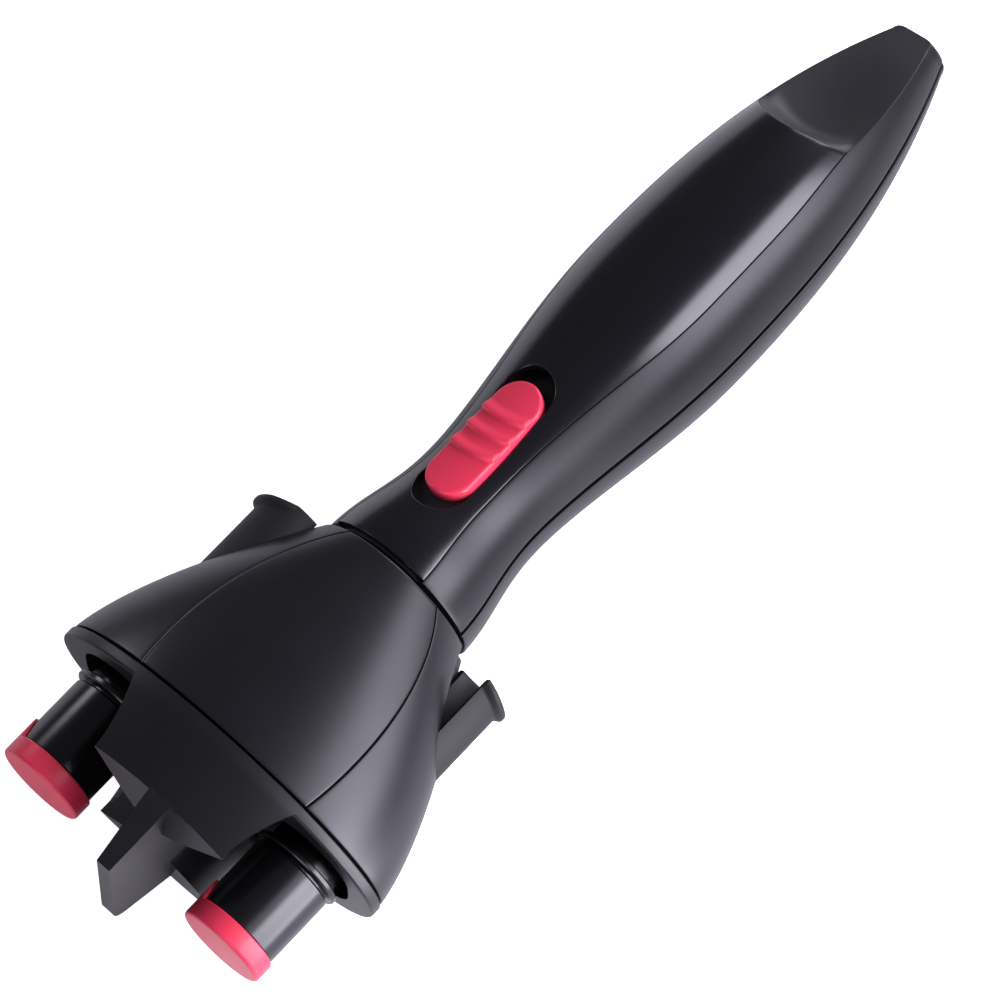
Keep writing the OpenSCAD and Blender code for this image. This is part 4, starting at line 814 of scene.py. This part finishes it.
made("handle_front_skin", [handle_side(1), handle_side(-1)], SATIN, "handle", ["handle_front_shell"])
# the scoop's floor is lighter than the rest of the handle: painted light
made("thumb_scoop_skin", [scoop_bed(), scoop_wall()], SCOOP, "handle", ["handle_front_shell"])
# the seat is darkened with painted shade, standing in for the shadow of the slot's walls on it
made("switch_seat_skin", [switch_seat()], SHADE, "handle", ["handle_front_shell"])
panel = made("handle_front_panel_skin", [front_panel()], SHEEN, "handle", ["handle_front_panel"])
cut(panel, made("slot_tool", [slot_cutter()], SATIN, ""))
back = made("handle_back_skin", [back_half()], SATIN, "handle", ["handle_back_shell"])
for su, sy in ((57.35, 9.5), (57.35, -9.5), (136.0, 0.0)):
    a = np.linspace(0, 2 * np.pi, 48, endpoint=False)
    rr = np.array([0, 2.45, 2.45, 2.45, 0])[:, None]
    zz = np.array([-30, -30, -12, -9.1, -9.1])[:, None]
    hole = hooped(in_handle(su + rr * np.cos(a), sy + rr * np.sin(a), zz + 0 * a))
    cut(back, made("screw_tool", [hole], SATIN, ""))
made("battery_cover_skin", [battery_lid()] + thumb_grips(), SATIN, "battery_cover", ["battery_cover"])
made("switch_knob_skin", [switch_knob()], CORAL, "switch", ["switch_knob"])

for label, start, end, flip, stands in (
        ("head_front_cover", lambda u: -seam_angle(u), seam_angle, False, "head_front_cover"),
        ("head_back_cover", lambda u: -seam_angle(u), seam_angle, True, "head_back_cover"),
        ("left_cheek", seam_angle, lambda u: np.pi - seam_angle(u), False, "left_cheek"),
        ("right_cheek", seam_angle, lambda u: np.pi - seam_angle(u), True, "right_cheek")):
    shell = made(label + "_skin", [head_patch(start, end, flip)], SATIN, "head", [stands])
    if "cheek" in label:
        y = -ROLLER_Y if flip else ROLLER_Y
        cut(shell, made("guide_tool", [tube_cutter(GUIDE_R - 0.5, -36.0, 6.0, y)], SATIN, ""))

plate = made("base_plate_skin", [base_plate()], BASE, "head", ["base_plate"])
for side in (1, -1):
    cut(plate, made("pocket_tool", [pocket_tool(side * ROLLER_Y)], BASE, ""))
    cut(plate, made("bore_tool", [tube_cutter(8.6, -60.0, -40.0, side * ROLLER_Y)], BASE, ""))

rounded(made("nose_skin", [skirt_shape(1.0, FRONT_SKIRT_AT, SKIRT_LEAN), fin_shape()], BASE,
             "head", ["nose_block"]), 0.4)
rounded(made("nose_back_skin", [skirt_shape(-1.0, BACK_SKIRT_AT, 0.0)], GLOSS,
             "head", ["nose_block"]), 0.4)

for label, side in (("left", 1), ("right", -1)):
    y = side * ROLLER_Y
    barrel = made(label + "_roller_skin", [lathe(roller_barrel(), in_head, y)], GLOSS,
                  label + "_roller", [label + "_roller"])
    cut(barrel, made("slot_tool", [slot_tool(y)], GLOSS, ""))
    made(label + "_cap_skin", [lathe(cap_shell(), in_head, y), cap_ear(y)], CORAL,
         label + "_roller", [label + "_roller_cap"])
    made(label + "_hook_skin", hair_hook(side), SHADE, "head", [label + "_hair_guide"])

# ---------------------------------------------------------------- studio

floor_z0 = cad_box[0].z - 0.0015
bpy.ops.mesh.primitive_plane_add(size=6, location=(0, 0, floor_z0))
ground = bpy.context.object
ground.name = "studio_floor"
paper = bpy.data.materials.new("studio_paper_white")
paper.use_nodes = True
t = paper.node_tree
t.nodes.clear()
path = add(t, "ShaderNodeLightPath")
seen = add(t, "ShaderNodeMath", {"operation": "MAXIMUM"})
t.links.new(path.outputs["Is Camera Ray"], seen.inputs[0])
t.links.new(path.outputs["Is Transmission Ray"], seen.inputs[1])
shade = add(t, "ShaderNodeBsdfDiffuse", {"Color": linear("#F4F4F5")})
glow = add(t, "ShaderNodeEmission", {"Color": linear("#FFFFFF"), "Strength": 0.85})
lit = add(t, "ShaderNodeAddShader")
t.links.new(shade.outputs[0], lit.inputs[0])
t.links.new(glow.outputs[0], lit.inputs[1])
pick = add(t, "ShaderNodeMixShader", {}, {"Fac": seen.outputs[0]})
t.links.new(shade.outputs[0], pick.inputs[1])
t.links.new(lit.outputs[0], pick.inputs[2])
add(t, "ShaderNodeOutputMaterial", {}, {"Surface": pick.outputs[0]})
ground.data.materials.append(paper)

world = bpy.data.worlds.new("studio")
bpy.context.scene.world = world
world.use_nodes = True
t = world.node_tree
t.nodes.clear()
path = add(t, "ShaderNodeLightPath")
seen = add(t, "ShaderNodeMath", {"operation": "MAXIMUM"})
t.links.new(path.outputs["Is Camera Ray"], seen.inputs[0])
t.links.new(path.outputs["Is Transmission Ray"], seen.inputs[1])
dim = add(t, "ShaderNodeBackground", {"Color": linear("#ECEAF6"), "Strength": 0.14})
white = add(t, "ShaderNodeBackground", {"Color": (1, 1, 1, 1), "Strength": 1.0})
pick = add(t, "ShaderNodeMixShader", {}, {"Fac": seen.outputs[0]})
t.links.new(dim.outputs[0], pick.inputs[1])
t.links.new(white.outputs[0], pick.inputs[2])
add(t, "ShaderNodeOutputWorld", {}, {"Surface": pick.outputs[0]})

# Camera: distance, tilt and roll against the axis were fitted to the photograph, and its axis rises 46 degrees there
TILT, ROLL, PX_PER_MM, FAR = 0.265, np.radians(12.5), 5.03, 1000.0
AXIS_AT = np.radians(46)
toward = np.array([-np.sin(TILT), -np.cos(TILT) * np.sin(ROLL), np.cos(TILT) * np.cos(ROLL)])
along = np.array([np.cos(TILT), -np.sin(TILT) * np.sin(ROLL), np.sin(TILT) * np.cos(ROLL)])
across = np.array([0, np.cos(ROLL), np.sin(ROLL)])
right = np.cos(AXIS_AT) * along - np.sin(AXIS_AT) * across
up = np.sin(AXIS_AT) * along + np.cos(AXIS_AT) * across
origin_x = COLLAR_X + 37.5
aim = np.array([origin_x, 0, 0]) + right * (500 - 520.8) / PX_PER_MM - up * (500 - 461.2) / PX_PER_MM
cam_data = bpy.data.cameras.new("camera")
cam_data.sensor_width = 36
cam_data.lens = 36 * PX_PER_MM * FAR / 1000
cam_data.clip_end = 20
cam = bpy.data.objects.new("camera", cam_data)
bpy.context.scene.collection.objects.link(cam)
turn = np.eye(4)
turn[:3, 0], turn[:3, 1], turn[:3, 2], turn[:3, 3] = right, up, toward, (aim + toward * FAR) * MM
cam.matrix_world = Matrix(turn.tolist())
bpy.context.scene.camera = cam


def softbox(name, lean, side, reach, size, watts, colour="#FFFFFF", over=0.0):
    """A rectangular lamp that faces a point of the axis. It leans towards the handle's tip and towards the viewer's
    lower right by angles in degrees, measured from the direction square to the axis in the camera's plane. Its
    first side runs along the axis, and over is the station of the point that it faces, in mm from the row's origin."""
    lean, side = np.radians(lean), np.radians(side)
    square = np.array([0, -np.sin(ROLL), np.cos(ROLL)])
    d = (square * np.cos(side) - across * np.sin(side)) * np.cos(lean) + np.array([np.sin(lean), 0, 0])
    first = np.array([1.0, 0, 0]) - d * d[0]
    first = first / np.linalg.norm(first)
    data = bpy.data.lights.new(name, "AREA")
    data.shape, data.size, data.size_y = "RECTANGLE", size[0], size[1]
    data.energy = watts
    data.color = linear(colour)[:3]
    obj = bpy.data.objects.new(name, data)
    bpy.context.scene.collection.objects.link(obj)
    place = np.eye(4)
    place[:3, 0], place[:3, 1], place[:3, 2] = first, np.cross(d, first), d
    place[:3, 3] = d * reach + np.array([over * MM, 0, 0])
    obj.matrix_world = Matrix(place.tolist())
    return obj


softbox("key", 24, 34, 1.0, (0.58, 0.72), 11.0, "#F2EFFF")
softbox("tail", 69, -30, 0.6, (0.35, 0.35), 2.3, "#F4F2FF")
softbox("nose", -66, 5, 0.6, (0.3, 0.3), 1.0, "#F4F2FF", over=-80)
softbox("head_card", 15, 68, 0.2, (0.07, 0.23), 0.6, "#F4F2FF", over=-105)
softbox("left_card", 14, -77, 0.2, (0.03, 0.05), 0.036, "#F4F2FF", over=-105)

bpy.context.scene.view_settings.view_transform = "Standard"
